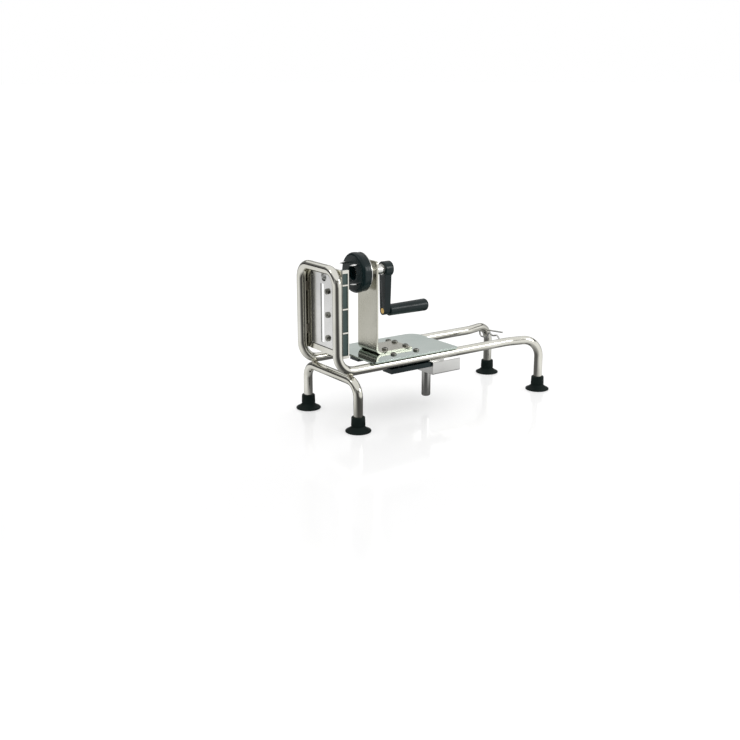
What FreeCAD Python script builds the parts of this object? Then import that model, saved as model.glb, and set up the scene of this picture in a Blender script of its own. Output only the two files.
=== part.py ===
import FreeCAD, Part
import math
import os

from FreeCAD import Placement, Rotation, Vector

# Table-top apple peeler and corer: a bent-tube stand with a blade unit between its two posts,
# and a carriage on its two rails that carries a hand-cranked spindle.
# Millimetres. +X points from the blade unit to the crank, +Z up, Z = 0 is the table.
# X = 0 and Y = 0 are the middle of the stand's footprint. "Left" is -Y, "right" is +Y.

# ---- stand: driving dimensions ----
tube_d = 12.0               # outside diameter of the stand's tube
tube_wall = 1.2
foot_span = 313.0           # front feet to rear feet, along X
post_lead = 18.5            # the posts stand this far ahead of the front feet
rail_gap = 82.8             # rail centreline to rail centreline
rail_z = 74.0               # height of the rail centrelines
front_foot_half = 59.0      # front feet, centre to the middle plane
rear_foot_half = 54.0       # rear feet, centre to the middle plane
splay_length = 48.0         # length over which the rails spread towards the rear feet
front_bend_r = 24.0         # rail up into the post
splay_bend_r = 60.0         # rail out towards the rear foot
rear_bend_r = 26.0          # rail down into the rear leg
hoop_bend_r = 19.0          # post into the top bar
leg_bend_r = 19.0           # front cross bar down into the front leg
hoop_leg = 52.0             # from the top bar's axis down to the welded joint in each post
weld_sink = 0.4             # depth to which the front cross bar is coped to the rails
weld_r = 3.6                # weld bead between the cross bar and a rail
weld_half = 1.6

# ---- suction feet ----
cup_r = 16.5
cup_h = 19.5
cup_lip = 1.6
cup_hollow = 3.4            # depth of the hollow under the skirt
cup_hollow_r = 12.5
cup_skirt_z = 7.5           # height at which the skirt leaves the collar
collar_d = 18.4
cup_floor_z = 7.0           # the tube end sits on this floor
collar_taper = 0.96         # collar's radius at its top, share of its radius at the skirt
collar_edge = 1.0           # chamfer at the collar's top
skirt_neck = 0.6            # groove between skirt and collar
skirt_neck_h = 1.2

# ---- spindle axis and its running clearances ----
axis_z = 189.5
shaft_d = 8.0
shaft_clear = 0.05          # radial, shaft in its bush and knob on its axle
end_gap = 0.3               # axial, between pieces that turn against each other

# ---- blade unit ----
core_r = 6.0                # bore of the coring tube
core_wall = 1.0
core_reach = 15.0           # coring tube, from the cutting plate towards the apple
core_head = 0.5             # gap between the core's way out and the bar above it
core_edge = 2.5             # length of the ground edge
core_land = 0.1             # thickness left at the edge
sheet = 1.5                 # stainless sheet of the blade frame and the hanger
unit_bottom_z = 92.0
unit_proud = 1.0            # blade frame's flanges outside the post centrelines
unit_above_axis = 13.5      # top edge of the blade frame above the spindle axis
flange_depth = 10.7
frame_window_half = 28.0    # half width of the window in the frame's web
frame_window_sill = 7.0
frame_window_head = 5.5
side_window_pitch = 30.0
side_window_first = 14.5    # from the flange's top margin to its first bridge
side_window_bridge = 1.8
side_window_edge = 1.5
side_window_top_margin = 4.0
side_window_foot_margin = 1.5
guide_t = 3.0
guide_hook = 3.4
guide_hook_t = 2.5
edge_clear = 0.3
cutter_t = 2.0
slot_w = 7.5
slot_y = 0.5                # the slot's edge nearest the spindle axis
slot_bottom_z = 104.0
slot_below_core = 2.5
blade_t = 1.2
blade_root = 15.0           # flat width of the blade on the cutting plate
blade_lift = 2.2            # slice thickness at the cutting edge
blade_tip = 6.0             # width of the bent-up cutting edge
blade_knuckle = 0.3         # inside of the bend before the outside
blade_screw_share = 0.6     # screw line behind the bend, share of the flat width
blade_screw_count = 3
blade_screw_inset = 8.0
plate_screw_inset_y = 6.0
plate_screw_inset_z = 7.0
frame_weld_length = 12.0
frame_weld_near = 0.3       # weld's inner and outer edge from the post's middle, shares of the tube's radius
frame_weld_far = 0.8

# ---- carriage ----
slide_clear = 0.3           # plate above the rails
guide_clear = 0.1           # guide block groove round the rail, radial
plate_t = 2.0
plate_front = 30.0          # front edge of the carriage plate behind the front feet, at rest
plate_length = 140.0
plate_half = 49.0
plate_corner_r = 5.0
plate_rear_corner_r = 16.0
upright_back = 25.0         # upright's front face behind the plate's front edge
upright_t = 3.0
upright_w = 42.0
upright_above_axis = 15.0
upright_corner_r = 4.0
upright_bend_r = 8.0
upright_foot = 58.0
foot_screw_first = 20.0
foot_screw_pitch = 33.5
foot_screw_half = 12.0
block_front = 30.0          # guide blocks behind the plate's front edge
block_gap = 0.5             # guide block to the hanger's front tab
block_inner = 28.0          # inner side of a guide block, from the middle plane
block_shelf = 6.4           # shelf under the rail
block_lap = 4.0             # how far the block reaches over the rail's inner side
block_screw_first = 15.0
block_screw_pitch = 37.0
block_screw_half = 31.0
block_screw_share = 0.7     # depth of a screw in a block, share of the block's height
hanger_length = 46.0
hanger_overhang = 2.0       # hanger's rear edge behind the plate's rear edge
hanger_half = 50.0
hanger_riser = 16.0
hanger_drop = 17.5          # hanger floor below the rails' underside
rail_gap_below = 1.0        # hanger lips below the rails
pin_d = 12.0
pin_bottom_z = 15.0
pin_back = 9.0              # pin behind the hanger's front edge
pin_half = 24.0
pin_chamfer = 1.2
pin_bored = 0.5             # depth of the tapped hole, share of the pin's length

# ---- spindle and crank ----
disc_r = 26.0
disc_t = 13.0
disc_step = 0.8
disc_waist = 0.65           # where the rim steps down, share of the disc's thickness
disc_front_back = 2.0       # disc's front face behind the plate's front edge
disc_recess_r = 9.0
disc_recess = 9.0
disc_round = 4.0
ring_t = 1.2
ring_r = 25.6
ring_chamfer = 0.4
prong_count = 4
prong_ring_r = 17.0
prong_d = 3.0
prong_length = 12.0
prong_root = 4.0
prong_point = 5.0
bush_r = 6.0
bush_collar_r = 10.0
bush_reach = 19.0           # bush behind the upright
washer_r = 7.0
washer_t = 1.5
hub_r = 10.0
hub_length = 12.2
arm_throw = 55.5
arm_top_w = 13.5
arm_top_t = 10.5
arm_low_w = 11.0
arm_low_t = 9.0
arm_low_step = 0.5
knob_r_in = 7.6
knob_r_out = 8.3
knob_length = 63.0
knob_round = 3.5
knob_socket = 5.5           # depth of the recess that hides the axle's head
axle_d = 6.0
axle_head_r = 3.8
axle_head_t = 1.5
axle_end_r = 4.6
axle_end_t = 2.0
axle_end_clear = 0.6

# ---- hairpin clip in the right rail's rear bend ----
clip_wire_d = 2.5
clip_clear = 0.1
clip_bend_angle = 42.0      # where along the rear bend the hole is drilled
clip_tilt = 5.0             # the clip's inner end is a little higher
clip_reach = 39.5           # straight leg, from the tube's centreline inwards
clip_bow_r = 5.6
clip_bow_out = 6.0          # where the bow starts, outwards from the tube's centreline
clip_pinch = 9.5            # where the sprung leg comes closest to the straight leg
clip_pinch_gap = 0.8        # gap between the two legs there
clip_wave = 7.3             # depth of the sprung leg's wave
clip_flat_start = 17.0
clip_flat_end = 27.5
clip_flat_rise = 1.7
clip_hook = 4.5             # length of the hooked end
clip_hook_drop = 6.0

# ---- fasteners ----
m4_d = 4.0
m4_head_d = 8.0
m4_head_h = 2.4
m5_d = 5.0
m5_head_d = 9.0
m5_head_h = 2.8
spindle_screw_grip = 12.0
spindle_screw_lip = 0.5     # screw head's edge beyond the shaft, against disc and hub
socket_share = 0.45         # hex socket across flats, share of the head
socket_depth_share = 0.6
nut_af_share = 1.75         # nut across flats, share of the thread
nut_h_share = 0.6
washer_nut_gap = 1.0        # thread standing past a nut

# ---- places worked out from the dimensions above ----
tube_r = tube_d / 2
length = post_lead + tube_r + foot_span + cup_r
x_front_foot = -length / 2 + tube_r + post_lead
x_rear_foot = x_front_foot + foot_span
x_post = x_front_foot - post_lead
x_splay = x_rear_foot - splay_length
rail_y = rail_gap / 2
rail_top = rail_z + tube_r
rail_bottom = rail_z - tube_r
hoop_z = axis_z + core_r + core_head + tube_r
post_joint_z = hoop_z - hoop_leg
bend_centre_x = x_post + front_bend_r
bend_centre_z = rail_z + front_bend_r

x_web = x_post + tube_r
x_web_back = x_web + sheet
x_cutter_back = x_web_back + cutter_t
x_flange_back = x_web + flange_depth
unit_top_z = axis_z + unit_above_axis
unit_half = rail_y + unit_proud
core_out_r = core_r + core_wall

x_plate = x_front_foot + plate_front
x_plate_back = x_plate + plate_length
plate_z = rail_top + slide_clear
plate_top = plate_z + plate_t
x_upright = x_plate + upright_back
x_upright_back = x_upright + upright_t
upright_top = axis_z + upright_above_axis
foot_top = plate_top + upright_t
block_bottom = rail_bottom - block_shelf
x_block = x_plate + block_front
x_block_screw = x_block + block_screw_first
x_hanger_back = x_plate_back + hanger_overhang
x_hanger = x_hanger_back - hanger_length
hanger_z = rail_bottom - hanger_drop
lip_top = rail_bottom - rail_gap_below
x_block_back = x_hanger - block_gap
x_pin = x_hanger + pin_back

x_disc = x_plate + disc_front_back
x_disc_back = x_disc + disc_t
x_shaft = x_disc + disc_recess
x_ring_back = x_disc_back + ring_t
x_bush_front = x_ring_back + end_gap
x_bush_back = x_upright_back + bush_reach
x_arm = x_bush_back + end_gap + washer_t
x_hub_back = x_arm + hub_length
x_arm_low = x_arm + arm_low_step
x_arm_low_back = x_arm_low + arm_low_t
knob_z = axis_z - arm_throw
x_knob = x_arm_low_back + end_gap
x_knob_back = x_knob + knob_length
x_axle_end = x_knob_back - knob_socket + end_gap

X = Vector(1, 0, 0)
Y = Vector(0, 1, 0)
Z = Vector(0, 0, 1)


# ---- helpers ----
def box(x0, x1, y0, y1, z0, z1):
    return Part.makeBox(x1 - x0, y1 - y0, z1 - z0, Vector(x0, y0, z0))


def rod_x(x0, x1, y, z, r):
    return Part.makeCylinder(r, x1 - x0, Vector(x0, y, z), X)


def rod_z(x, y, z0, z1, r):
    return Part.makeCylinder(r, z1 - z0, Vector(x, y, z0), Z)


def fused(solids):
    """One solid from pieces that meet, with the seams between them removed."""
    return solids[0].multiFuse(solids[1:]).removeSplitter()


def group(solids):
    return Part.makeCompound(solids)


def prism(points, height):
    """A flat outline of (x, y, z) points, pushed along the vector height."""
    corners = [Vector(*p) for p in points]
    return Part.Face(Part.makePolygon(corners + corners[:1])).extrude(height)


def turned(profile, base, axis):
    """A solid of revolution: profile is (distance along the axis, radius), or three of them for an arc."""
    edges = []
    start = profile[0]
    for step in profile[1:]:
        if len(step) == 2:
            edges.append(Part.LineSegment(Vector(start[1], 0, start[0]), Vector(step[1], 0, step[0])).toShape())
            start = step
        else:
            middle, end = step[0:2], step[2:4]
            curve = Part.Arc(Vector(start[1], 0, start[0]), Vector(middle[1], 0, middle[0]),
                             Vector(end[1], 0, end[0]))
            edges.append(curve.toShape())
            start = end
    first = profile[0]
    edges.append(Part.LineSegment(Vector(start[1], 0, start[0]), Vector(first[1], 0, first[0])).toShape())
    solid = Part.Face(Part.Wire(edges)).revolve(Vector(), Z, 360)
    solid.Placement = Placement(base, Rotation(Z, axis))
    return solid


def rounded_corner(axial, radius, size, sign_axial, sign_radius):
    """Arc step for turned(): rounds the corner at (axial, radius) coming from -sign_axial."""
    share = size * (1 - math.sqrt(0.5))
    middle = (axial - sign_axial * share, radius - sign_radius * share)
    end = (axial, radius - sign_radius * size)
    return middle + end


def bent_rod(points, radii, outer_r, inner_r=0.0):
    """Round bar or tube along straight runs, each corner bent to its radius."""
    corners = [Vector(*p) for p in points]
    solids = []

    def section(at, direction):
        face = Part.Face(Part.Wire(Part.Circle(at, direction, outer_r).toShape()))
        if inner_r > 0:
            face = face.cut(Part.Face(Part.Wire(Part.Circle(at, direction, inner_r).toShape()))).Faces[0]
        return face

    start = corners[0]
    for corner, nxt, radius in zip(corners[1:-1], corners[2:], radii):
        back = (start - corner).normalize()
        ahead = (nxt - corner).normalize()
        half = math.acos(max(-1.0, min(1.0, back.dot(ahead)))) / 2
        tangent = radius / math.tan(half)
        arc_start = corner + back * tangent
        solids.append(section(start, back).extrude(arc_start - start))
        centre = corner + (back + ahead).normalize() * (radius / math.sin(half))
        turn_axis = back.cross(ahead).normalize()
        turn = 180 - math.degrees(2 * half)
        solids.append(section(arc_start, back).revolve(centre, turn_axis * -1, turn))
        start = corner + ahead * tangent
    solids.append(section(start, start - corners[-1]).extrude(corners[-1] - start))
    return fused(solids)


def screw(head_at, axis, grip, d, head_d, head_h):
    """Pan-head screw with a hex socket. head_at is the centre of the head's seat, axis points to its top."""
    edge = head_h / 2
    profile = [(-grip, 0), (-grip, d / 2), (0, d / 2), (0, head_d / 2), (head_h - edge, head_d / 2)]
    profile.append(rounded_corner(head_h, head_d / 2, edge, 1, 1))
    profile.append((head_h, 0))
    solid = turned(profile, Vector(), Z)
    socket = hexagon(head_d * socket_share, head_h * socket_depth_share)
    socket.translate(Vector(0, 0, head_h * (1 - socket_depth_share)))
    solid = solid.cut(socket)
    solid.Placement = Placement(head_at, Rotation(Z, axis))
    return solid


def m4_screw(head_at, axis, grip):
    return screw(head_at, axis, grip, m4_d, m4_head_d, m4_head_h)


def m5_screw(head_at, axis, grip):
    return screw(head_at, axis, grip, m5_d, m5_head_d, m5_head_h)


def hexagon(across_flats, height):
    corner_r = across_flats / 2 / math.cos(math.pi / 6)
    corners = [(corner_r * math.cos(math.radians(60 * i)), corner_r * math.sin(math.radians(60 * i)), 0)
               for i in range(6)]
    return prism(corners, Z * height)


def nut(seat_at, axis, d):
    """Hex nut on its seat, bored to the thread's diameter."""
    height = d * nut_h_share
    solid = hexagon(d * nut_af_share, height).cut(Part.makeCylinder(d / 2, height))
    solid.Placement = Placement(seat_at, Rotation(Z, axis))
    return solid


# ---- stand ----
def rail_route(side):
    """Rear foot, up and over, along the rail, and up the lower half of the post."""
    points = [(x_rear_foot, side * rear_foot_half, cup_floor_z),
              (x_rear_foot, side * rear_foot_half, rail_z),
              (x_splay, side * rail_y, rail_z),
              (x_post, side * rail_y, rail_z),
              (x_post, side * rail_y, post_joint_z)]
    return points, [rear_bend_r, splay_bend_r, front_bend_r]


def rail_solid(side, inner_r):
    points, radii = rail_route(side)
    return bent_rod(points, radii, tube_r, inner_r)


def rail_tube(side):
    return rail_solid(side, tube_r - tube_wall)


def top_hoop():
    points = [(x_post, -rail_y, post_joint_z), (x_post, -rail_y, hoop_z),
              (x_post, rail_y, hoop_z), (x_post, rail_y, post_joint_z)]
    return bent_rod(points, [hoop_bend_r, hoop_bend_r], tube_r, tube_r - tube_wall)


def leg_bar_z():
    """Height at which the front cross bar just sinks into the underside of the rails."""
    ahead = max(bend_centre_x - x_front_foot, 0.0)
    reach = front_bend_r + tube_d - weld_sink
    return bend_centre_z - math.sqrt(reach ** 2 - ahead ** 2)


def front_leg_hoop():
    z = leg_bar_z()
    points = [(x_front_foot, -front_foot_half, cup_floor_z), (x_front_foot, -front_foot_half, z),
              (x_front_foot, front_foot_half, z), (x_front_foot, front_foot_half, cup_floor_z)]
    hoop = bent_rod(points, [leg_bend_r, leg_bend_r], tube_r, tube_r - tube_wall)
    for side in (-1, 1):
        hoop = hoop.cut(rail_solid(side, 0.0))
    return hoop


def leg_welds():
    """A bead round each place where the front cross bar meets a rail."""
    z = leg_bar_z()
    bar_points = [(x_front_foot, -front_foot_half, cup_floor_z), (x_front_foot, -front_foot_half, z),
                  (x_front_foot, front_foot_half, z), (x_front_foot, front_foot_half, cup_floor_z)]
    bar = bent_rod(bar_points, [leg_bend_r, leg_bend_r], tube_r)
    beads = []
    for side in (-1, 1):
        fill = rod_z(x_front_foot, side * rail_y, z + tube_r - weld_half, z + tube_r + weld_half, weld_r)
        beads.append(fill.cut(bar).cut(rail_solid(side, 0.0)))
    return group(beads)


def suction_cup(x, y):
    collar_r = collar_d / 2
    profile = [(cup_hollow, 0), (cup_hollow * 0.75, cup_hollow_r * 0.6),
               (cup_lip * 0.4, cup_hollow_r), (0, cup_r - cup_lip * 1.2),
               (0, cup_r - cup_lip * 0.5)]
    profile.append((cup_lip * 0.25, cup_r - cup_lip * 0.1, cup_lip * 0.75, cup_r))
    profile.append((cup_lip * 1.2, cup_r))
    skirt_mid = (cup_skirt_z * 0.55, collar_r + (cup_r - collar_r) * 0.28)
    profile.append(skirt_mid + (cup_skirt_z, collar_r - skirt_neck))
    profile.append((cup_skirt_z + skirt_neck_h, collar_r))
    profile.append((cup_h - collar_edge, collar_r * collar_taper))
    profile.append((cup_h, collar_r * collar_taper - collar_edge))
    profile.append((cup_h, 0))
    cup = turned(profile, Vector(x, y, 0), Z)
    return cup.cut(rod_z(x, y, cup_floor_z, cup_h + 1, tube_r))


# ---- blade unit ----
def side_windows():
    """Heights (bottom, top) of the openings in the blade frame's flanges, from the top down."""
    windows = []
    top = unit_top_z - side_window_top_margin
    bottom = unit_bottom_z + side_window_foot_margin
    below = top - side_window_first
    while top - bottom > side_window_bridge:
        windows.append((max(below + side_window_bridge / 2, bottom), top))
        top = below - side_window_bridge / 2
        below = below - side_window_pitch
    return windows


def blade_frame():
    frame = box(x_web, x_flange_back, -unit_half, unit_half, unit_bottom_z, unit_top_z)
    frame = frame.cut(box(x_web_back, x_flange_back, -unit_half + sheet, unit_half - sheet,
                          unit_bottom_z, unit_top_z))
    frame = frame.cut(box(x_web, x_web_back, -frame_window_half, frame_window_half,
                          unit_bottom_z + frame_window_sill, unit_top_z - frame_window_head))
    for low, high in side_windows():
        frame = frame.cut(box(x_web_back, x_flange_back - side_window_edge, -unit_half, unit_half, low, high))
    for at in plate_screw_places():
        frame = frame.cut(rod_x(x_web, x_web_back, at[0], at[1], m4_d / 2))
    return frame


def guide_strip(side):
    """Black edge strip behind the flange windows. It hooks behind the edge of the cutting plate."""
    outer = unit_half - sheet
    inner = outer - guide_t
    hook = inner - guide_hook
    outline = [(x_web_back, outer), (x_web_back, inner), (x_cutter_back, inner), (x_cutter_back, hook),
               (x_cutter_back + guide_hook_t, hook), (x_cutter_back + guide_hook_t, inner),
               (x_flange_back, inner), (x_flange_back, outer)]
    return prism([(x, side * y, unit_bottom_z) for x, y in outline], Z * (unit_top_z - unit_bottom_z))


def plate_screw_places():
    half = unit_half - sheet - guide_t - guide_hook - plate_screw_inset_y
    low = unit_bottom_z + plate_screw_inset_z
    high = unit_top_z - plate_screw_inset_z - core_r
    return [(side * half, z) for side in (-1, 1) for z in (low, high)]


def blade_screw_places():
    low = slot_bottom_z + blade_screw_inset
    high = blade_top_z() - blade_screw_inset
    step = (high - low) / (blade_screw_count - 1)
    return [(slot_y - blade_root * blade_screw_share, low + step * i) for i in range(blade_screw_count)]


def blade_top_z():
    return axis_z - core_out_r - slot_below_core


def cutting_plate():
    half = unit_half - sheet - guide_t - edge_clear
    plate = box(x_web_back, x_cutter_back, -half, half, unit_bottom_z, unit_top_z)
    plate = plate.cut(rod_x(x_web_back, x_cutter_back, 0, axis_z, core_out_r))
    plate = plate.cut(box(x_web_back, x_cutter_back, slot_y, slot_y + slot_w, slot_bottom_z, blade_top_z()))
    for y, z in plate_screw_places() + blade_screw_places():
        plate = plate.cut(rod_x(x_web_back, x_cutter_back, y, z, m4_d / 2))
    return plate


def cutting_blade():
    """Straight blade: its flat root lies on the plate, its edge is bent up over the slot."""
    root = x_cutter_back
    bend_y = slot_y
    tip_y = bend_y + blade_tip
    outline = [(root, bend_y - blade_root), (root, bend_y), (root + blade_lift + blade_t * 0.8, tip_y),
               (root + blade_t, bend_y - blade_knuckle), (root + blade_t, bend_y - blade_root)]
    blade = prism([(x, y, slot_bottom_z) for x, y in outline], Z * (blade_top_z() - slot_bottom_z))
    for y, z in blade_screw_places():
        blade = blade.cut(rod_x(root, root + blade_t, y, z, m4_d / 2))
    return blade


def coring_tube():
    x_tip = x_cutter_back + core_reach
    profile = [(0, core_r), (x_tip - x_web_back, core_r), (x_tip - x_web_back, core_r + core_land),
               (x_tip - x_web_back - core_edge, core_out_r), (0, core_out_r)]
    return turned(profile, Vector(x_web_back, 0, axis_z), X)


def plate_screws():
    grip = cutter_t + sheet
    return group([m4_screw(Vector(x_cutter_back, y, z), X, grip) for y, z in plate_screw_places()])


def blade_screws():
    nut_h = m4_d * nut_h_share
    grip = blade_t + cutter_t + nut_h + washer_nut_gap
    return group([m4_screw(Vector(x_cutter_back + blade_t, y, z), X, grip) for y, z in blade_screw_places()])


def blade_nuts():
    return group([nut(Vector(x_web_back, y, z), X * -1, m4_d) for y, z in blade_screw_places()])


def frame_welds():
    """Short beads in the crevice between each post and the back of the blade frame."""
    near, far = tube_r * frame_weld_near, tube_r * frame_weld_far
    thick = tube_r - math.sqrt(tube_r ** 2 - far ** 2)
    beads = []
    for side in (-1, 1):
        for z in (unit_bottom_z + frame_weld_length * 1.5, unit_top_z - hoop_bend_r - frame_weld_length * 1.5):
            inner, outer = side * (rail_y - far), side * (rail_y - near)
            block = box(x_web - thick, x_web, min(inner, outer), max(inner, outer), z, z + frame_weld_length)
            post = rod_z(x_post, side * rail_y, z - 1, z + frame_weld_length + 1, tube_r)
            beads.append(block.cut(post))
    return group(beads)


# ---- carriage ----
def foot_screw_places():
    first = x_upright + foot_screw_first
    return [(x, side * foot_screw_half) for x in (first, first + foot_screw_pitch) for side in (-1, 1)]


def block_screw_places(side):
    return [(x, side * block_screw_half) for x in (x_block_screw, x_block_screw + block_screw_pitch)]


def carriage_plate():
    """Flat sheet with small front corners and larger rear corners."""
    plate = box(x_plate, x_plate_back, -plate_half, plate_half, plate_z, plate_top)
    uprights = [e for e in plate.Edges if abs(e.tangentAt(e.FirstParameter).z) > 0.9]
    front = [e for e in uprights if e.CenterOfMass.x < x_plate + 1]
    rear_right = [e for e in uprights if e.CenterOfMass.x > x_plate + 1 and e.CenterOfMass.y > 0]
    rear_left = [e for e in uprights if e.CenterOfMass.x > x_plate + 1 and e.CenterOfMass.y < 0]
    plate = plate.makeFillet(plate_corner_r, front + rear_left)
    uprights = [e for e in plate.Edges if e.CenterOfMass.x > x_plate_back - 0.1
                and e.CenterOfMass.y > plate_half - 0.1]
    plate = plate.makeFillet(plate_rear_corner_r, uprights)
    for x, y in foot_screw_places() + block_screw_places(-1) + block_screw_places(1):
        plate = plate.cut(rod_z(x, y, plate_z, plate_top, m4_d / 2))
    return plate


def upright_bracket():
    """L-shaped sheet: a tall plate for the spindle and a foot on the carriage plate."""
    half = upright_w / 2
    inner_r = upright_bend_r - upright_t
    turn_x = x_upright + upright_bend_r
    turn_z = plate_top + upright_bend_r
    tall = box(x_upright, x_upright_back, -half, half, turn_z, upright_top)
    corners = [e for e in tall.Edges if e.CenterOfMass.z > upright_top - 0.1
               and abs(e.tangentAt(e.FirstParameter).x) > 0.9]
    tall = tall.makeFillet(upright_corner_r, corners)
    bend = Part.makeCylinder(upright_bend_r, upright_w, Vector(turn_x, -half, turn_z), Y)
    bend = bend.cut(Part.makeCylinder(inner_r, upright_w, Vector(turn_x, -half, turn_z), Y))
    bend = bend.common(box(x_upright, turn_x, -half, half, plate_top, turn_z))
    foot = box(turn_x, x_upright + upright_foot, -half, half, plate_top, foot_top)
    bracket = fused([tall, bend, foot])
    bracket = bracket.cut(rod_x(x_upright - 1, x_upright_back + 1, 0, axis_z, bush_r))
    for x, y in foot_screw_places():
        bracket = bracket.cut(rod_z(x, y, plate_top, foot_top, m4_d / 2))
    return bracket


def guide_block(side):
    """Plastic block under the plate. It lies against the rail's inner side and hooks under the rail."""
    lap_y = rail_y - tube_r + block_lap
    wall = box(x_block, x_block_back, block_inner, lap_y, block_bottom, plate_z)
    shelf = box(x_block, x_block_back, block_inner, rail_y + tube_r, block_bottom, rail_bottom - guide_clear)
    web = box(x_block, x_block_back, block_inner, rail_y, block_bottom, rail_z)
    block = fused([wall, shelf, web])
    block = block.cut(rod_x(x_block, x_block_back, rail_y, rail_z, tube_r + guide_clear))
    for x, y in block_screw_places(1):
        block = block.cut(rod_z(x, y, plate_z - block_screw_grip(), plate_z, m4_d / 2))
    if side < 0:
        block = block.mirror(Vector(), Y)
    return block


def block_screw_grip():
    return (plate_z - block_bottom) * block_screw_share


def hanger():
    """Hat-section sheet under the plate: two risers, a floor under each rail, lips and front tabs."""
    floor_top = hanger_z + sheet
    riser_in = hanger_riser - sheet
    pieces = [box(x_hanger, x_hanger_back, -hanger_riser, hanger_riser, plate_z - sheet, plate_z)]
    half_pieces = [box(x_hanger, x_hanger_back, riser_in, hanger_riser, hanger_z, plate_z),
                   box(x_hanger, x_hanger_back, riser_in, hanger_half, hanger_z, floor_top),
                   box(x_hanger, x_hanger_back, hanger_half - sheet, hanger_half, hanger_z, lip_top),
                   box(x_hanger, x_hanger + sheet, riser_in, hanger_half, hanger_z, lip_top)]
    for half_piece in half_pieces:
        pieces.append(half_piece)
        pieces.append(half_piece.mirror(Vector(), Y))
    solid = fused(pieces)
    return solid.cut(rod_z(x_pin, -pin_half, hanger_z, floor_top, m5_d / 2))


def push_pin():
    r = pin_d / 2
    bored = (hanger_z - pin_bottom_z) * pin_bored
    profile = [(0, 0), (0, r - pin_chamfer), (pin_chamfer, r), (hanger_z - pin_bottom_z, r),
               (hanger_z - pin_bottom_z, m5_d / 2), (hanger_z - pin_bottom_z - bored, m5_d / 2),
               (hanger_z - pin_bottom_z - bored, 0)]
    return turned(profile, Vector(x_pin, -pin_half, pin_bottom_z), Z)


def pin_screw():
    grip = (hanger_z - pin_bottom_z) * pin_bored + sheet
    return m5_screw(Vector(x_pin, -pin_half, hanger_z + sheet), Z, grip)


def foot_screws():
    grip = upright_t + plate_t + m4_d * nut_h_share + washer_nut_gap
    return group([m4_screw(Vector(x, y, foot_top), Z, grip) for x, y in foot_screw_places()])


def foot_nuts():
    return group([nut(Vector(x, y, plate_z), Z * -1, m4_d) for x, y in foot_screw_places()])


def block_screws():
    places = block_screw_places(-1) + block_screw_places(1)
    return group([m4_screw(Vector(x, y, plate_top), Z, plate_t + block_screw_grip()) for x, y in places])


def bearing_bush():
    """Steel bush through the upright, with a collar against its front face."""
    bore = shaft_d / 2 + shaft_clear
    profile = [(0, bore), (x_bush_back - x_bush_front, bore), (x_bush_back - x_bush_front, bush_r),
               (x_upright - x_bush_front, bush_r), (x_upright - x_bush_front, bush_collar_r),
               (0, bush_collar_r)]
    return turned(profile, Vector(x_bush_front, 0, axis_z), X)


# ---- spindle ----
def spindle_shaft():
    shaft = rod_x(x_shaft, x_hub_back, 0, axis_z, shaft_d / 2)
    tapped = spindle_screw_grip
    shaft = shaft.cut(rod_x(x_shaft, x_shaft + tapped, 0, axis_z, m5_d / 2))
    return shaft.cut(rod_x(x_hub_back - tapped, x_hub_back, 0, axis_z, m5_d / 2))


def spindle_screws():
    """A screw in each end of the shaft, its head wider than the shaft to hold disc and hub."""
    head_d = shaft_d + 2 * spindle_screw_lip
    ends = [(x_shaft, X * -1), (x_hub_back, X)]
    return group([screw(Vector(x, 0, axis_z), way, spindle_screw_grip, m5_d, head_d, m5_head_h)
                  for x, way in ends])


def prong_places():
    angles = [2 * math.pi * (i + 0.5) / prong_count for i in range(prong_count)]
    return [(prong_ring_r * math.cos(a), axis_z + prong_ring_r * math.sin(a)) for a in angles]


def drive_disc():
    """Black disc with a rounded front rim, a centre recess and sockets for the prongs."""
    waist = disc_t * disc_waist
    profile = [(0, disc_recess_r), (disc_recess, disc_recess_r), (disc_recess, shaft_d / 2),
               (disc_t, shaft_d / 2), (disc_t, disc_r - disc_step), (waist, disc_r - disc_step),
               (waist - disc_step, disc_r), (disc_round, disc_r)]
    profile.append(rounded_corner(0, disc_r, disc_round, -1, 1))
    disc = turned(profile, Vector(x_disc, 0, axis_z), X)
    for y, z in prong_places():
        disc = disc.cut(rod_x(x_disc, x_disc + prong_root, y, z, prong_d / 2))
    return disc


def backing_ring():
    profile = [(0, shaft_d / 2), (ring_t, shaft_d / 2), (ring_t, ring_r - ring_chamfer),
               (ring_t - ring_chamfer, ring_r), (0, ring_r)]
    return turned(profile, Vector(x_disc_back, 0, axis_z), X)


def prongs():
    """Pointed steel prongs that grip the apple."""
    profile = [(0, 0), (0, prong_d / 2), (prong_root + prong_length - prong_point, prong_d / 2),
               (prong_root + prong_length, 0)]
    return group([turned(profile, Vector(x_disc + prong_root, y, z), X * -1) for y, z in prong_places()])


def thrust_washer():
    ring = rod_x(x_arm - washer_t, x_arm, 0, axis_z, washer_r)
    return ring.cut(rod_x(x_arm - washer_t, x_arm, 0, axis_z, shaft_d / 2))


def crank_arm():
    """Tapered arm that hangs from a round hub, with a boss for the knob's axle."""
    def section(z, width, x0, x1):
        half = width / 2
        corners = [Vector(x0, -half, z), Vector(x1, -half, z), Vector(x1, half, z), Vector(x0, half, z)]
        return Part.makePolygon(corners + corners[:1])

    hub = rod_x(x_arm, x_hub_back, 0, axis_z, hub_r)
    boss = rod_x(x_arm_low, x_arm_low_back, 0, knob_z, arm_low_w / 2)
    bar = Part.makeLoft([section(axis_z, arm_top_w, x_arm, x_arm + arm_top_t),
                         section(knob_z, arm_low_w, x_arm_low, x_arm_low_back)], True, True)
    arm = fused([hub, bar, boss])
    arm = arm.cut(rod_x(x_arm - 1, x_hub_back + 1, 0, axis_z, shaft_d / 2))
    arm = arm.cut(rod_x(x_arm_low - 1, x_arm_low_back + 1, 0, knob_z, axle_d / 2))
    return arm.cut(rod_x(x_arm_low - 1, x_arm_low + axle_head_t, 0, knob_z, axle_head_r))


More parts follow.
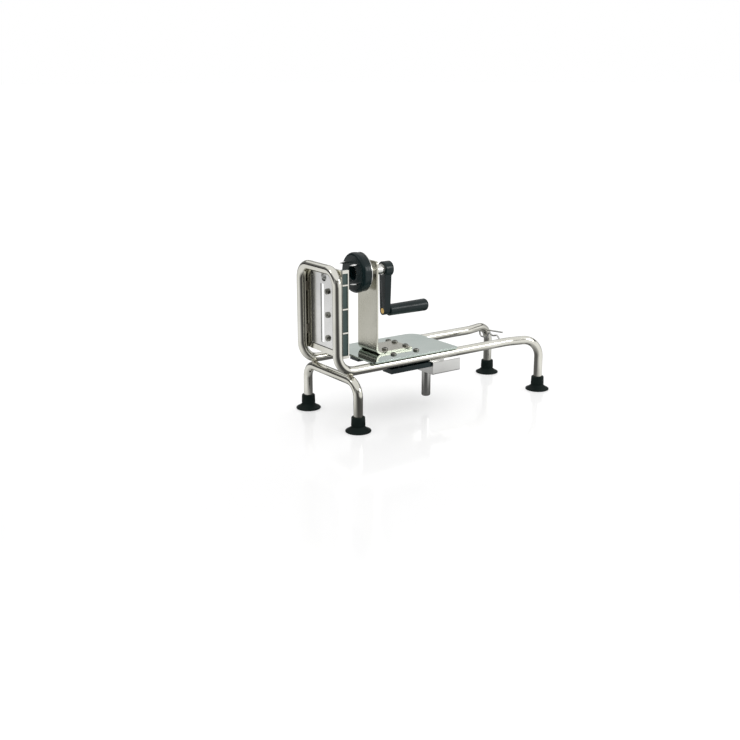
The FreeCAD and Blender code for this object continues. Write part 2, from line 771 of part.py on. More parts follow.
def knob_axle():
    """Brass axle: its front head is sunk in the arm, its end head keeps the knob on."""
    reach = x_axle_end - x_arm_low
    profile = [(0, 0), (0, axle_head_r), (axle_head_t, axle_head_r), (axle_head_t, axle_d / 2),
               (reach, axle_d / 2), (reach, axle_end_r), (reach + axle_end_t, axle_end_r),
               (reach + axle_end_t, 0)]
    return turned(profile, Vector(x_arm_low, 0, knob_z), X)


def knob():
    """Barrel grip that widens towards its rounded end, free to turn on its axle."""
    bore = axle_d / 2 + shaft_clear
    socket_r = axle_end_r + axle_end_clear
    shoulder = knob_length - knob_socket
    profile = [(0, bore), (shoulder, bore), (shoulder, socket_r), (knob_length, socket_r),
               (knob_length, knob_r_out - knob_round)]
    share = knob_round * (1 - math.sqrt(0.5))
    profile.append((knob_length - share, knob_r_out - share, knob_length - knob_round, knob_r_out))
    profile.append((0, knob_r_in))
    return turned(profile, Vector(x_knob, 0, knob_z), X)


# ---- hairpin clip ----
def clip_frame():
    """Place of the clip's hole on the rear bend, and the directions in and down from it."""
    run = Vector(x_rear_foot - x_splay, rear_foot_half - rail_y, 0)
    along = run.Length - rear_bend_r + rear_bend_r * math.sin(math.radians(clip_bend_angle))
    drop = rear_bend_r * (1 - math.cos(math.radians(clip_bend_angle)))
    hole = Vector(x_splay, rail_y, rail_z - drop) + run.normalize() * along
    tilt = math.radians(clip_tilt)
    inward = Vector(0, -math.cos(tilt), math.sin(tilt))
    down = Vector(0, -math.sin(tilt), -math.cos(tilt))
    return hole, inward, down


def clip_points(route):
    hole, inward, down = clip_frame()
    return [tuple(hole + inward * s + down * d) for s, d in route]


def right_rail_tube():
    hole, inward, down = clip_frame()
    drill_r = clip_wire_d / 2 + clip_clear
    drill = Part.makeCylinder(drill_r, tube_d * 3, hole - inward * tube_d * 1.5, inward)
    return rail_tube(1).cut(drill)


def clip_wire():
    """Straight leg through the tube, and the bow at its outer end."""
    bow = clip_bow_r
    out = -clip_bow_out
    route = [(clip_reach, 0), (out - bow, 0), (out - bow, bow * 2), (out, bow * 2)]
    limited = bow * 0.999
    return bent_rod(clip_points(route), [limited, limited], clip_wire_d / 2)


def clip_spring_leg():
    """Sprung leg: under the tube, up to the straight leg, and out again to its hooked end."""
    flat = clip_wave - clip_flat_rise
    route = [(-clip_bow_out, clip_bow_r * 2), (tube_r - clip_wire_d, clip_bow_r * 2),
             (clip_pinch, clip_wire_d + clip_pinch_gap), (clip_flat_start, clip_wave),
             (clip_flat_end, flat), (clip_flat_end + clip_hook, flat + clip_hook_drop)]
    bends = [clip_wire_d * 1.2, clip_wire_d * 0.9, clip_wire_d * 1.6, clip_wire_d]
    return bent_rod(clip_points(route), bends, clip_wire_d / 2)


nodes = {
    "rail_tube_left": rail_tube(-1),
    "rail_tube_right": right_rail_tube(),
    "top_hoop": top_hoop(),
    "front_leg_hoop": front_leg_hoop(),
    "leg_welds": leg_welds(),
    "suction_cup_front_left": suction_cup(x_front_foot, -front_foot_half),
    "suction_cup_front_right": suction_cup(x_front_foot, front_foot_half),
    "suction_cup_rear_left": suction_cup(x_rear_foot, -rear_foot_half),
    "suction_cup_rear_right": suction_cup(x_rear_foot, rear_foot_half),
    "blade_frame": blade_frame(),
    "frame_welds": frame_welds(),
    "guide_strip_left": guide_strip(-1),
    "guide_strip_right": guide_strip(1),
    "cutting_plate": cutting_plate(),
    "plate_screws": plate_screws(),
    "cutting_blade": cutting_blade(),
    "blade_screws": blade_screws(),
    "blade_nuts": blade_nuts(),
    "coring_tube": coring_tube(),
    "carriage_plate": carriage_plate(),
    "upright_bracket": upright_bracket(),
    "foot_screws": foot_screws(),
    "foot_nuts": foot_nuts(),
    "guide_block_left": guide_block(-1),
    "guide_block_right": guide_block(1),
    "block_screws": block_screws(),
    "hanger": hanger(),
    "push_pin": push_pin(),
    "pin_screw": pin_screw(),
    "bearing_bush": bearing_bush(),
    "spindle_shaft": spindle_shaft(),
    "spindle_screws": spindle_screws(),
    "drive_disc": drive_disc(),
    "backing_ring": backing_ring(),
    "prongs": prongs(),
    "thrust_washer": thrust_washer(),
    "crank_arm": crank_arm(),
    "knob_axle": knob_axle(),
    "knob": knob(),
    "clip_wire": clip_wire(),
    "clip_spring_leg": clip_spring_leg(),
}

os.makedirs("parts", exist_ok=True)
for name, shape in nodes.items():
    shape.exportStep(os.path.join("parts", name + ".step"))
    box_mm = shape.BoundBox
    print(f"{name:26s} valid {shape.isValid()} solids {len(shape.Solids)} volume {shape.Volume:10.1f} "
          f"x {box_mm.XMin:7.1f}..{box_mm.XMax:7.1f} y {box_mm.YMin:6.1f}..{box_mm.YMax:6.1f} "
          f"z {box_mm.ZMin:6.1f}..{box_mm.ZMax:6.1f}")
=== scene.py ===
# %% [markdown]
# # A table-top apple peeler and corer
#
# The machine is a stand of bent, polished stainless tube on four suction feet. Between its two
# posts sits the blade unit. On its two rails slides a carriage with a hand-cranked spindle, whose
# pronged disc pushes a turning apple against the blade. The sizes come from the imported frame, so
# every piece made here lies exactly where the working model says.

# %% Load the frame
import math

import bmesh
import bpy
from mathutils import Matrix, Vector


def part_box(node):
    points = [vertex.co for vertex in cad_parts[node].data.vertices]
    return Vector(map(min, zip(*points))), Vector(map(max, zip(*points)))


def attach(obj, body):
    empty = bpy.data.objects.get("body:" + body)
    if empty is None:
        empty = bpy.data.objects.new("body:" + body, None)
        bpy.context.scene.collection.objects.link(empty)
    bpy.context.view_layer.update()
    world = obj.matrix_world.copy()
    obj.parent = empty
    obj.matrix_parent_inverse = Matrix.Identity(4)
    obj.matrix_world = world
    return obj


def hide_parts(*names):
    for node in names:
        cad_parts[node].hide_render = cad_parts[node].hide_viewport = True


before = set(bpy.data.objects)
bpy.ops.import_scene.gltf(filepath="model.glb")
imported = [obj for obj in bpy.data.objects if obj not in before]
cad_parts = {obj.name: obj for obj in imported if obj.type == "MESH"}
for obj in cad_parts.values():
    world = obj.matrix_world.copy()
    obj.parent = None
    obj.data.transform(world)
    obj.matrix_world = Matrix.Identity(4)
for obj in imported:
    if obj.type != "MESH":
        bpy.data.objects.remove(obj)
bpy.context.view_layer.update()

X, Y, Z = Vector((1, 0, 0)), Vector((0, 1, 0)), Vector((0, 0, 1))
MM = 0.001
NEAR = 1e-5    # metres: the same place
MERGE = 1e-6   # metres: one point

# %% [markdown]
# ## Camera
#
# The view is that of a product picture: a little above the machine, from the blade unit's left.
# A perspective camera is placed and turned with plain angles, so nothing has to track it.

# %% Camera
CAMERA_AT = (-0.8584, -1.0870, 0.4333)
CAMERA_DOWN = 15.813
CAMERA_LEFT = 35.153
LENS = 50.94
SENSOR = 36.0

bpy.ops.object.select_all(action="DESELECT")
camera_turn = (math.radians(90 - CAMERA_DOWN), 0, math.radians(-CAMERA_LEFT))
bpy.ops.object.camera_add(location=CAMERA_AT, rotation=camera_turn)
camera = bpy.context.object
camera.data.lens = LENS
camera.data.sensor_width = SENSOR
camera.data.clip_end = 50.0
bpy.context.scene.camera = camera
print("camera at", CAMERA_AT, "lens", LENS)

# %% [markdown]
# ## Studio
#
# Polished metal shows what stands around it. In an all-white room it would look like white
# plastic, so the room needs a few dark stretches between its bright ones. Here the sky itself is
# painted. A ramp round the compass makes bright and dark walls, one bright ceiling lies above them,
# and a dark band parts the two. Matt surfaces and the camera see plain white instead.

# %% Sky
def add_node(tree, kind, **settings):
    """A new shader node with its settings and its unlinked input values."""
    node = tree.nodes.new(kind)
    for key, value in settings.items():
        if hasattr(node, key):
            setattr(node, key, value)
        else:
            node.inputs[key.replace("_", " ")].default_value = value
    return node


def ramp(tree, value, stops):
    """A colour ramp over a value: stops are (position, grey or colour)."""
    node = tree.nodes.new("ShaderNodeValToRGB")
    tree.links.new(value, node.inputs["Fac"])
    elements = node.color_ramp.elements
    while len(elements) < len(stops):
        elements.new(0.5)
    for element, (position, colour) in zip(elements, stops):
        element.position = position
        rgb = colour if isinstance(colour, tuple) else (colour,) * 3
        element.color = (*rgb, 1.0)
    return node.outputs["Color"]


def math_node(tree, operation, first, second):
    """A Math node on two values, each a number or a socket."""
    node = tree.nodes.new("ShaderNodeMath")
    node.operation = operation
    for socket, value in zip(node.inputs, (first, second)):
        if isinstance(value, (int, float)):
            socket.default_value = value
        else:
            tree.links.new(value, socket)
    return node.outputs["Value"]


def mix_colours(tree, factor, first, second, blend="MIX"):
    """Mixes two colours; factor and colours are numbers, greys or sockets."""
    node = tree.nodes.new("ShaderNodeMix")
    node.data_type = "RGBA"
    node.blend_type = blend
    for place, value in ((0, factor), (6, first), (7, second)):
        if not isinstance(value, (int, float)):
            tree.links.new(value, node.inputs[place])
        else:
            node.inputs[place].default_value = value if place == 0 else (value, value, value, 1.0)
    return node.outputs[2]


def turn_share(tree, direction):
    """0 to 1 once round the vertical axis, from -X round by -Y, +X and +Y."""
    apart = add_node(tree, "ShaderNodeSeparateXYZ")
    tree.links.new(direction, apart.inputs["Vector"])
    angle = math_node(tree, "ARCTAN2", apart.outputs["Y"], apart.outputs["X"])
    share = math_node(tree, "MULTIPLY_ADD", angle, 1 / (2 * math.pi))
    share.node.inputs[2].default_value = 0.5
    return share


SKY_ROUND = [(0.0, 0.5), (0.047, 0.3), (0.09, 0.06), (0.19, 0.10), (0.236, 0.5), (0.278, 1.0),
             (0.444, 1.0), (0.50, 0.5), (0.56, 0.45), (0.60, 0.74), (0.69, 0.74), (0.75, 0.25),
             (0.80, 0.05), (0.93, 0.05)]
HEIGHT_STOPS = [(0.0, 0.0), (0.25, 0.0), (0.50, 1.0), (1.0, 1.0)]
BAND_STOPS = [(0.30, 1.0), (0.36, 0.18), (0.44, 0.18), (0.54, 1.0)]
OVERHEAD = 0.95
SKY_ON_MATT = 1.0

world = bpy.data.worlds.new("studio")
bpy.context.scene.world = world
world.use_nodes = True
sky = world.node_tree
direction = add_node(sky, "ShaderNodeTexCoord").outputs["Generated"]
heights = add_node(sky, "ShaderNodeSeparateXYZ")
sky.links.new(direction, heights.inputs["Vector"])
shown = mix_colours(sky, ramp(sky, heights.outputs["Z"], HEIGHT_STOPS),
                    ramp(sky, turn_share(sky, direction), SKY_ROUND), OVERHEAD)
shown = mix_colours(sky, 1.0, shown, ramp(sky, heights.outputs["Z"], BAND_STOPS), "MULTIPLY")
rays = add_node(sky, "ShaderNodeLightPath")
shown = mix_colours(sky, rays.outputs["Is Diffuse Ray"], shown, SKY_ON_MATT)
shown = mix_colours(sky, rays.outputs["Is Camera Ray"], shown, 1.0)
sky.links.new(shown, sky.nodes["Background"].inputs["Color"])
bpy.context.scene.view_settings.view_transform = "Standard"
print("sky:", len(sky.nodes), "nodes")

# %% [markdown]
# ## Lamps
#
# Two square soft lamps stand either side. They are hidden from matt surfaces and from the camera,
# so they leave only highlights on metal and plastic.

# %% Lamps
LAMPS = {
    "softbox_right": ((0.92, -1.14, 0.75), (-0.03, 0, 0.13), 0.5, 4.6),
    "softbox_left": ((-1.3, 0.5, 1.2), (-0.1, 0, 0.15), 0.35, 1.2),
}


def area_lamp(name, place, target, size, power):
    """A square soft lamp at a place, facing a target. It makes highlights only."""
    bpy.ops.object.select_all(action="DESELECT")
    aim = (Vector(target) - Vector(place)).to_track_quat("-Z", "Y").to_euler()
    bpy.ops.object.light_add(type="AREA", location=place, rotation=aim)
    lamp = bpy.context.object
    lamp.name = name
    lamp.data.size = size
    lamp.data.energy = power
    lamp.visible_diffuse = False
    lamp.visible_camera = False


for lamp_name, (place, target, size, power) in LAMPS.items():
    area_lamp(lamp_name, place, target, size, power)
print("lamps:", list(LAMPS))

# %% [markdown]
# ## Floor
#
# The floor is a wide pale sheet with an even gloss. It glows a little, to stay light under the
# machine. Shiny pieces see a painted pattern in its place, dark close by and with bright and dark
# stretches further out, which gives the metal its contrast.

# %% Floor
FLOOR_SIZE = 80.0
GROUND_ROUND = [(0.0, 0.75), (0.047, 0.35), (0.085, 0.07), (0.18, 0.08), (0.225, 0.4), (0.27, 1.0),
                (0.444, 1.0), (0.50, 0.6), (0.60, 0.35), (0.69, 0.25), (0.77, 0.3), (0.83, 0.85),
                (0.95, 0.9)]
NEAR_STOPS = [(0.10, 0.0), (0.26, 1.0)]
UNDER_MACHINE = 0.12
FLOOR_GLOW = 0.46
FLOOR_GLOSS = 0.22
FLOOR_ROUGHNESS = 0.10

bpy.ops.object.select_all(action="DESELECT")
bpy.ops.mesh.primitive_plane_add(size=FLOOR_SIZE, location=(0, 0, 0))
floor = bpy.context.object
floor.name = "floor"
floor_material = bpy.data.materials.new("pale_floor")
floor_material.use_nodes = True
tree = floor_material.node_tree
matt = tree.nodes["Principled BSDF"]
matt.inputs["Base Color"].default_value = (0.80, 0.80, 0.80, 1)
matt.inputs["Specular IOR Level"].default_value = 0.0
matt.inputs["Emission Color"].default_value = (1, 1, 1, 1)
matt.inputs["Emission Strength"].default_value = FLOOR_GLOW
gloss = add_node(tree, "ShaderNodeBsdfGlossy", Roughness=FLOOR_ROUGHNESS)
sheen = add_node(tree, "ShaderNodeMixShader")
sheen.inputs[0].default_value = FLOOR_GLOSS
tree.links.new(matt.outputs["BSDF"], sheen.inputs[1])
tree.links.new(gloss.outputs["BSDF"], sheen.inputs[2])
ground = add_node(tree, "ShaderNodeTexCoord").outputs["Object"]
reach = add_node(tree, "ShaderNodeVectorMath", operation="LENGTH")
tree.links.new(ground, reach.inputs[0])
mirrored = mix_colours(tree, ramp(tree, reach.outputs["Value"], NEAR_STOPS), UNDER_MACHINE,
                       ramp(tree, turn_share(tree, ground), GROUND_ROUND))
glow = add_node(tree, "ShaderNodeEmission")
tree.links.new(mirrored, glow.inputs["Color"])
either = add_node(tree, "ShaderNodeMixShader")
tree.links.new(add_node(tree, "ShaderNodeLightPath").outputs["Is Glossy Ray"], either.inputs[0])
tree.links.new(sheen.outputs["Shader"], either.inputs[1])
tree.links.new(glow.outputs["Emission"], either.inputs[2])
tree.links.new(either.outputs["Shader"], tree.nodes["Material Output"].inputs["Surface"])
floor.data.materials.append(floor_material)
print("floor:", FLOOR_SIZE, "m")

# %% [markdown]
# ## Tools for shaping
#
# Every piece starts as a primitive at its own size and place and is then shaped in edit mode.
# Operators act on whatever is selected, so each tool first clears the selection, and picks what
# it needs by where it lies. Turned pieces grow ring by ring, bent tubes run by run.

# %% Selecting
def leave():
    """Back to object mode."""
    bpy.ops.object.mode_set(mode="OBJECT")


def clear_selection():
    if bpy.context.mode != "OBJECT":
        leave()
    bpy.ops.object.select_all(action="DESELECT")


def only(piece):
    """Selects one piece alone and makes it the active one."""
    clear_selection()
    piece.select_set(True)
    bpy.context.view_layer.objects.active = piece


def edit(piece):
    only(piece)
    bpy.ops.object.mode_set(mode="EDIT")


def edit_whole(piece):
    """Opens one piece in edit mode with every point selected."""
    edit(piece)
    bpy.ops.mesh.select_mode(type="VERT")
    bpy.ops.mesh.select_all(action="SELECT")


def pick(piece, kind, test):
    """In edit mode, selects what passes a test of its middle and itself, and nothing else."""
    bpy.ops.mesh.select_mode(type=kind)
    bpy.ops.mesh.select_all(action="DESELECT")
    mesh = bmesh.from_edit_mesh(piece.data)
    found = mesh.edges if kind == "EDGE" else mesh.faces if kind == "FACE" else mesh.verts
    for item in found:
        if kind == "VERT":
            middle = item.co
        elif kind == "EDGE":
            middle = (item.verts[0].co + item.verts[1].co) / 2
        else:
            middle = item.calc_center_median()
        item.select_set(test(middle, item))
    bmesh.update_edit_mesh(piece.data)


def along(edge, axis):
    """True if an edge runs along an axis."""
    run = edge.verts[1].co - edge.verts[0].co
    return abs(run.normalized().dot(axis)) > 0.99


def settle():
    """Applies place, turn and size of the new primitive, so that it sits at the origin."""
    leave()
    bpy.ops.object.transform_apply(location=True, rotation=True, scale=True)
    return bpy.context.object


# %% [markdown]
# ## Tools for finishing
#
# No real edge is perfectly sharp, and a rounded one catches a thin line of light. So every piece
# ends with a small bevel and smooth shading.

# %% Finishing
def apply_modifier(piece, kind, **settings):
    only(piece)
    modifier = piece.modifiers.new(kind.lower(), kind)
    for key, value in settings.items():
        setattr(modifier, key, value)
    bpy.ops.object.modifier_apply(modifier=modifier.name)


def soften(piece, width, segments=2, angle=32):
    """Rounds every sharp edge a little, as sheet and turned metal have it, and smooths the shading."""
    apply_modifier(piece, "BEVEL", width=width, segments=segments, limit_method="ANGLE",
                   angle_limit=math.radians(angle), use_clamp_overlap=True)
    only(piece)
    bpy.ops.object.shade_smooth_by_angle(angle=math.radians(angle))
    apply_modifier(piece, "WEIGHTED_NORMAL", weight=100, keep_sharp=True)


def outwards(piece):
    """Merges double points and turns every face outwards."""
    edit_whole(piece)
    bpy.ops.mesh.remove_doubles(threshold=MERGE)
    bpy.ops.mesh.normals_make_consistent(inside=False)
    leave()


def join(pieces, name):
    """Several shapes as one piece."""
    clear_selection()
    for piece in pieces:
        piece.select_set(True)
    bpy.context.view_layer.objects.active = pieces[0]
    bpy.ops.object.join()
    pieces[0].name = name
    return pieces[0]


def boolean(piece, tool, operation):
    """Cuts a piece with a tool, or adds it, and removes the tool."""
    apply_modifier(piece, "BOOLEAN", object=tool, operation=operation, solver="EXACT")
    bpy.data.objects.remove(tool)


def install(piece, body, slot, material, *nodes):
    """Gives a finished piece its material and its body, and hides the CAD nodes it stands for. The slot is
    not used.
    """
    piece.data.materials.clear()
    piece.data.materials.append(material)
    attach(piece, body)
    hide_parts(*nodes)
    print(f"{piece.name}: {len(piece.data.polygons)} faces on {body}")


# %% Shaping
RING = 64


def turned(name, base, axis, rings, closed=False, vertices=RING):
    """A turned piece. rings are (distance along the axis, radius). A closed one has a bore."""
    clear_selection()
    base, axis = Vector(base), Vector(axis)
    start, radius = rings[0]
    aim = axis.to_track_quat("Z", "Y").to_euler()
    bpy.ops.mesh.primitive_circle_add(vertices=vertices, radius=radius, location=base + axis * start,
                                      rotation=aim)
    piece = settle()
    piece.name = name
    edit_whole(piece)
    for at, wide in rings[1:] + (rings[:1] if closed else []):
        bpy.ops.mesh.extrude_region_move(TRANSFORM_OT_translate={"value": axis * (at - start)})
        share = wide / radius
        bpy.ops.transform.resize(value=(share, share, share), center_override=base + axis * at)
        start, radius = at, wide
    if not closed:
        bpy.ops.mesh.select_all(action="SELECT")
        bpy.ops.mesh.fill_holes(sides=0)
    leave()
    outwards(piece)
    return piece


def arc(middle, radius, first, last, steps=6):
    """Points (distance, radius) of a rounding in a turned profile; angles in degrees."""
    points = []
    for step in range(steps + 1):
        angle = math.radians(first + (last - first) * step / steps)
        points.append((middle[0] + radius * math.cos(angle), middle[1] + radius * math.sin(angle)))
    return points


def bent_rod(name, points, bends, radius, vertices=32, steps=14):
    """Round bar or tube: straight runs are extruded, and each corner is spun round its bend."""
    clear_selection()
    points = [Vector(point) for point in points]
    heading = (points[1] - points[0]).normalized()
    aim = heading.to_track_quat("Z", "Y").to_euler()
    bpy.ops.mesh.primitive_circle_add(vertices=vertices, radius=radius, location=points[0], rotation=aim)
    piece = settle()
    piece.name = name
    edit_whole(piece)
    here = points[0]
    for corner, after, bend in zip(points[1:-1], points[2:], bends):
        ahead = (after - corner).normalized()
        half = (math.pi - heading.angle(ahead)) / 2
        reach = bend / math.tan(half)
        bpy.ops.mesh.extrude_region_move(
            TRANSFORM_OT_translate={"value": corner - heading * reach - here})
        middle = corner + (ahead - heading).normalized() * (bend / math.sin(half))
        axis = heading.cross(ahead).normalized()
        bpy.ops.mesh.spin(steps=steps, angle=heading.angle(ahead), center=middle, axis=-axis)
        here, heading = corner + ahead * reach, ahead
    bpy.ops.mesh.extrude_region_move(TRANSFORM_OT_translate={"value": points[-1] - here})
    bpy.ops.mesh.select_all(action="SELECT")
    bpy.ops.mesh.fill_holes(sides=0)
    leave()
    outwards(piece)
    return piece


def block(name, low, high):
    """A box between two corners, to be shaped further."""
    clear_selection()
    low, high = Vector(low), Vector(high)
    bpy.ops.mesh.primitive_cube_add(size=1, location=(low + high) / 2)
    bpy.context.object.scale = high - low
    piece = settle()
    piece.name = name
    return piece


def flat(name, middle, size, turn=(0, 0, 0)):
    """A flat sheet of no thickness yet, to be folded."""
    clear_selection()
    bpy.ops.mesh.primitive_plane_add(size=1, location=middle, rotation=turn)
    bpy.context.object.scale = (*size, 1)
    piece = settle()
    piece.name = name
    return piece


def pull_edges(piece, test, way):
    """Folds a sheet on: the edges that pass the test are extruded."""
    edit(piece)
    pick(piece, "EDGE", test)
    bpy.ops.mesh.extrude_region_move(TRANSFORM_OT_translate={"value": way})
    leave()


def round_edges(piece, test, width, segments=6, kind="EDGE"):
    """Rounds the edges, or with kind VERT the corners, that pass the test."""
    edit(piece)
    pick(piece, kind, test)
    affected = "VERTICES" if kind == "VERT" else "EDGES"
    bpy.ops.mesh.bevel(offset=width, segments=segments, affect=affected)
    leave()


def cut_block(piece, low, high):
    boolean(piece, block("cutter", low, high), "DIFFERENCE")


def solids(node):
    """The boxes of the separate solids in a CAD node, sorted by place."""
    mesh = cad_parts[node].data
    owner = {}

    def find(key):
        while owner[key] != key:
            owner[key] = owner[owner[key]]
            key = owner[key]
        return key

    keys = [tuple(round(value, 6) for value in vertex.co) for vertex in mesh.vertices]
    for key in keys:
        owner[key] = key
    for face in mesh.polygons:
        first = find(keys[face.vertices[0]])
        for vertex in face.vertices[1:]:
            owner[find(keys[vertex])] = first
    groups = {}
    for key in keys:
        groups.setdefault(find(key), []).append(key)
    boxes = [(Vector(map(min, zip(*group))), Vector(map(max, zip(*group)))) for group in groups.values()]
    return sorted(boxes, key=lambda corners: tuple(round(value, 4) for value in corners[0]))


print("shaping tools ready")

# %% [markdown]
# ## Materials
#
# Polished tube, satin sheet, ground steel, moulded plastic and rubber differ mostly in how rough
# their skin is and how that roughness changes from place to place. Each material is a Principled
# shader whose colour, roughness and tiny bumps come from noise on object coordinates, in metres,
# stretched along the grain where the real finish has one.

# %% Material tools
def blank(name):
    material = bpy.data.materials.new(name)
    material.use_nodes = True
    return material, material.node_tree, material.node_tree.nodes["Principled BSDF"]


def texture(tree, scale, stretch=(1, 1, 1), detail=3.0):
    """Noise on object coordinates: scale is features per metre, stretch is per axis."""
    place = add_node(tree, "ShaderNodeTexCoord")
    mapping = add_node(tree, "ShaderNodeMapping")
    mapping.inputs["Scale"].default_value = stretch
    tree.links.new(place.outputs["Object"], mapping.inputs["Vector"])
    node = add_node(tree, "ShaderNodeTexNoise", Scale=scale, Detail=detail)
    tree.links.new(mapping.outputs["Vector"], node.inputs["Vector"])
    return node.outputs["Fac"]


def span(tree, value, low, high, out_low, out_high):
    node = add_node(tree, "ShaderNodeMapRange")
    tree.links.new(value, node.inputs["Value"])
    for key, number in (("From Min", low), ("From Max", high), ("To Min", out_low), ("To Max", out_high)):
        node.inputs[key].default_value = number
    return node.outputs["Result"]


def bump(tree, shader, height, strength, distance):
    """Adds tiny bumps to a shader, on top of any it has."""
    node = add_node(tree, "ShaderNodeBump", Strength=strength, Distance=distance)
    tree.links.new(height, node.inputs["Height"])
    previous = shader.inputs["Normal"]
    if previous.is_linked:
        tree.links.new(previous.links[0].from_socket, node.inputs["Normal"])
    tree.links.new(node.outputs["Normal"], previous)


def steel(name, dark, light, smooth, rough, grain_stretch, grain_scale, grain_depth):
    """Stainless steel: tint varies softly, roughness by smudge and by grain, grain as fine bumps."""
    material, tree, shader = blank(name)
    shader.inputs["Metallic"].default_value = 1.0
    cloud = texture(tree, 22.0)
    tree.links.new(ramp(tree, cloud, [(0.3, dark), (0.7, light)]), shader.inputs["Base Color"])
    grain = texture(tree, grain_scale, grain_stretch, 4.0)
    smudge = texture(tree, 48.0, detail=5.0)
    both = math_node(tree, "MULTIPLY", span(tree, smudge, 0.25, 0.75, 0.55, 1.0),
                     span(tree, grain, 0.2, 0.8, 0.75, 1.25))
    tree.links.new(span(tree, both, 0.4, 1.25, smooth, rough), shader.inputs["Roughness"])
    bump(tree, shader, grain, grain_depth, 0.00004)
    return material


def plastic(name, dark, light, smooth, rough, pebble, pebble_depth, shine):
    """Dark moulded plastic or rubber: a fine pebbled skin, faint dust and handling marks."""
    material, tree, shader = blank(name)
    cloud = texture(tree, 35.0, detail=4.0)
    tree.links.new(ramp(tree, cloud, [(0.35, dark), (0.75, light)]), shader.inputs["Base Color"])
    worn = texture(tree, 90.0, detail=6.0)
    tree.links.new(span(tree, worn, 0.3, 0.7, smooth, rough), shader.inputs["Roughness"])
    shader.inputs["Specular IOR Level"].default_value = shine
    skin = texture(tree, pebble, detail=2.0)
    bump(tree, shader, skin, pebble_depth, 0.00005)
    return material


# %% [markdown]
# ## Finishes
#
# Each line gives a dark and a light tint, the smoothest and roughest skin, and the grain. Sheet
# has a long grain, screws are dark, and moulded plastic and rubber are nearly black.

# %% Finishes
EVEN = (1, 1, 1)
tube_steel = steel("polished_tube", (0.66, 0.65, 0.58), (0.80, 0.79, 0.73), 0.08, 0.15,
                   EVEN, 500.0, 0.015)
sheet_steel = steel("satin_sheet_lengthwise", (0.46, 0.54, 0.50), (0.56, 0.63, 0.59), 0.05, 0.13,
                    (0.03, 1, 1), 900.0, 0.35)
upright_steel = steel("satin_sheet_upright", (0.48, 0.47, 0.40), (0.58, 0.57, 0.50), 0.20, 0.32,
                      (1, 1, 0.03), 900.0, 0.12)
box_steel = steel("satin_sheet_box", (0.66, 0.66, 0.64), (0.78, 0.78, 0.76), 0.28, 0.40,
                  (0.03, 1, 1), 900.0, 0.4)
turned_steel = steel("turned_steel", (0.62, 0.62, 0.60), (0.78, 0.78, 0.75), 0.14, 0.28,
                     (1, 1, 0.2), 1200.0, 0.3)
edge_steel = steel("ground_edge_steel", (0.66, 0.66, 0.65), (0.80, 0.80, 0.79), 0.12, 0.26,
                   (1, 0.04, 1), 1100.0, 0.5)
screw_steel = steel("fastener_steel", (0.17, 0.17, 0.15), (0.32, 0.32, 0.29), 0.22, 0.38,
                    EVEN, 1500.0, 0.3)
weld_steel = steel("weld_steel", (0.36, 0.33, 0.27), (0.60, 0.57, 0.50), 0.25, 0.5, EVEN, 900.0, 1.0)
wire_steel = steel("spring_wire", (0.58, 0.58, 0.56), (0.72, 0.72, 0.70), 0.12, 0.24, EVEN, 900.0, 0.2)
brass = steel("turned_brass", (0.55, 0.36, 0.12), (0.74, 0.52, 0.20), 0.20, 0.34, EVEN, 1200.0, 0.3)
black_plastic = plastic("black_plastic", (0.002, 0.009, 0.010), (0.005, 0.017, 0.018), 0.20, 0.32,
                        2600.0, 0.10, 0.28)
strip_plastic = plastic("strip_plastic", (0.032, 0.062, 0.058), (0.052, 0.090, 0.084), 0.30, 0.45,
                        1500.0, 0.2, 0.4)
rubber = plastic("black_rubber", (0.003, 0.008, 0.007), (0.010, 0.018, 0.016), 0.42, 0.60,
                 1800.0, 0.35, 0.10)
print("materials:", len(bpy.data.materials))

# %% [markdown]
# ## Stand tube
#
# The real stand is one long tube of 12 mm, bent cold round a former: up from one rear foot, along
# the rail, up the post, across the top and back the same way. A ring is extruded along each
# straight run and spun round each bend, which keeps the tube perfectly round everywhere.

# %% Stand tube
rail_low, rail_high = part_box("rail_tube_left")
hoop_low, hoop_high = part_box("top_hoop")
foot_low, foot_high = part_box("front_leg_hoop")
TUBE_R = (hoop_high.x - hoop_low.x) / 2
POST_X = (hoop_low.x + hoop_high.x) / 2
RAIL_Y = hoop_high.y - TUBE_R
TOP_Z = hoop_high.z - TUBE_R
REAR_X = rail_high.x - TUBE_R
REAR_Y = -rail_low.y - TUBE_R
FOOT_Z = rail_low.z
SLIDE_GAP = 0.3 * MM
RAIL_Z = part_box("carriage_plate")[0].z - SLIDE_GAP - TUBE_R
SPLAY_X = REAR_X - 48 * MM
TUBE_EDGE = 0.3 * MM
FRONT_BEND, SPLAY_BEND, REAR_BEND, TOP_BEND = 24 * MM, 60 * MM, 26 * MM, 19 * MM

left_half = [(REAR_X, -REAR_Y, FOOT_Z), (REAR_X, -REAR_Y, RAIL_Z), (SPLAY_X, -RAIL_Y, RAIL_Z),
             (POST_X, -RAIL_Y, RAIL_Z), (POST_X, -RAIL_Y, TOP_Z)]
right_half = [(x, -y, z) for x, y, z in reversed(left_half)]
half_bends = [REAR_BEND, SPLAY_BEND, FRONT_BEND, TOP_BEND]
stand_tube = bent_rod("stand_tube", left_half + right_half, half_bends + half_bends[::-1], TUBE_R)
soften(stand_tube, TUBE_EDGE)
install(stand_tube, "frame", "stand_tube", tube_steel, "rail_tube_left", "rail_tube_right", "top_hoop")

# %% [markdown]
# ## Front legs
#
# A shorter tube is bent into a hoop and welded crosswise under the rails. The same tool makes it
# from four points.

# %% Front legs
FRONT_X = (foot_low.x + foot_high.x) / 2
FRONT_Y = foot_high.y - TUBE_R
BAR_Z = foot_high.z - TUBE_R
LEG_BEND = 19 * MM

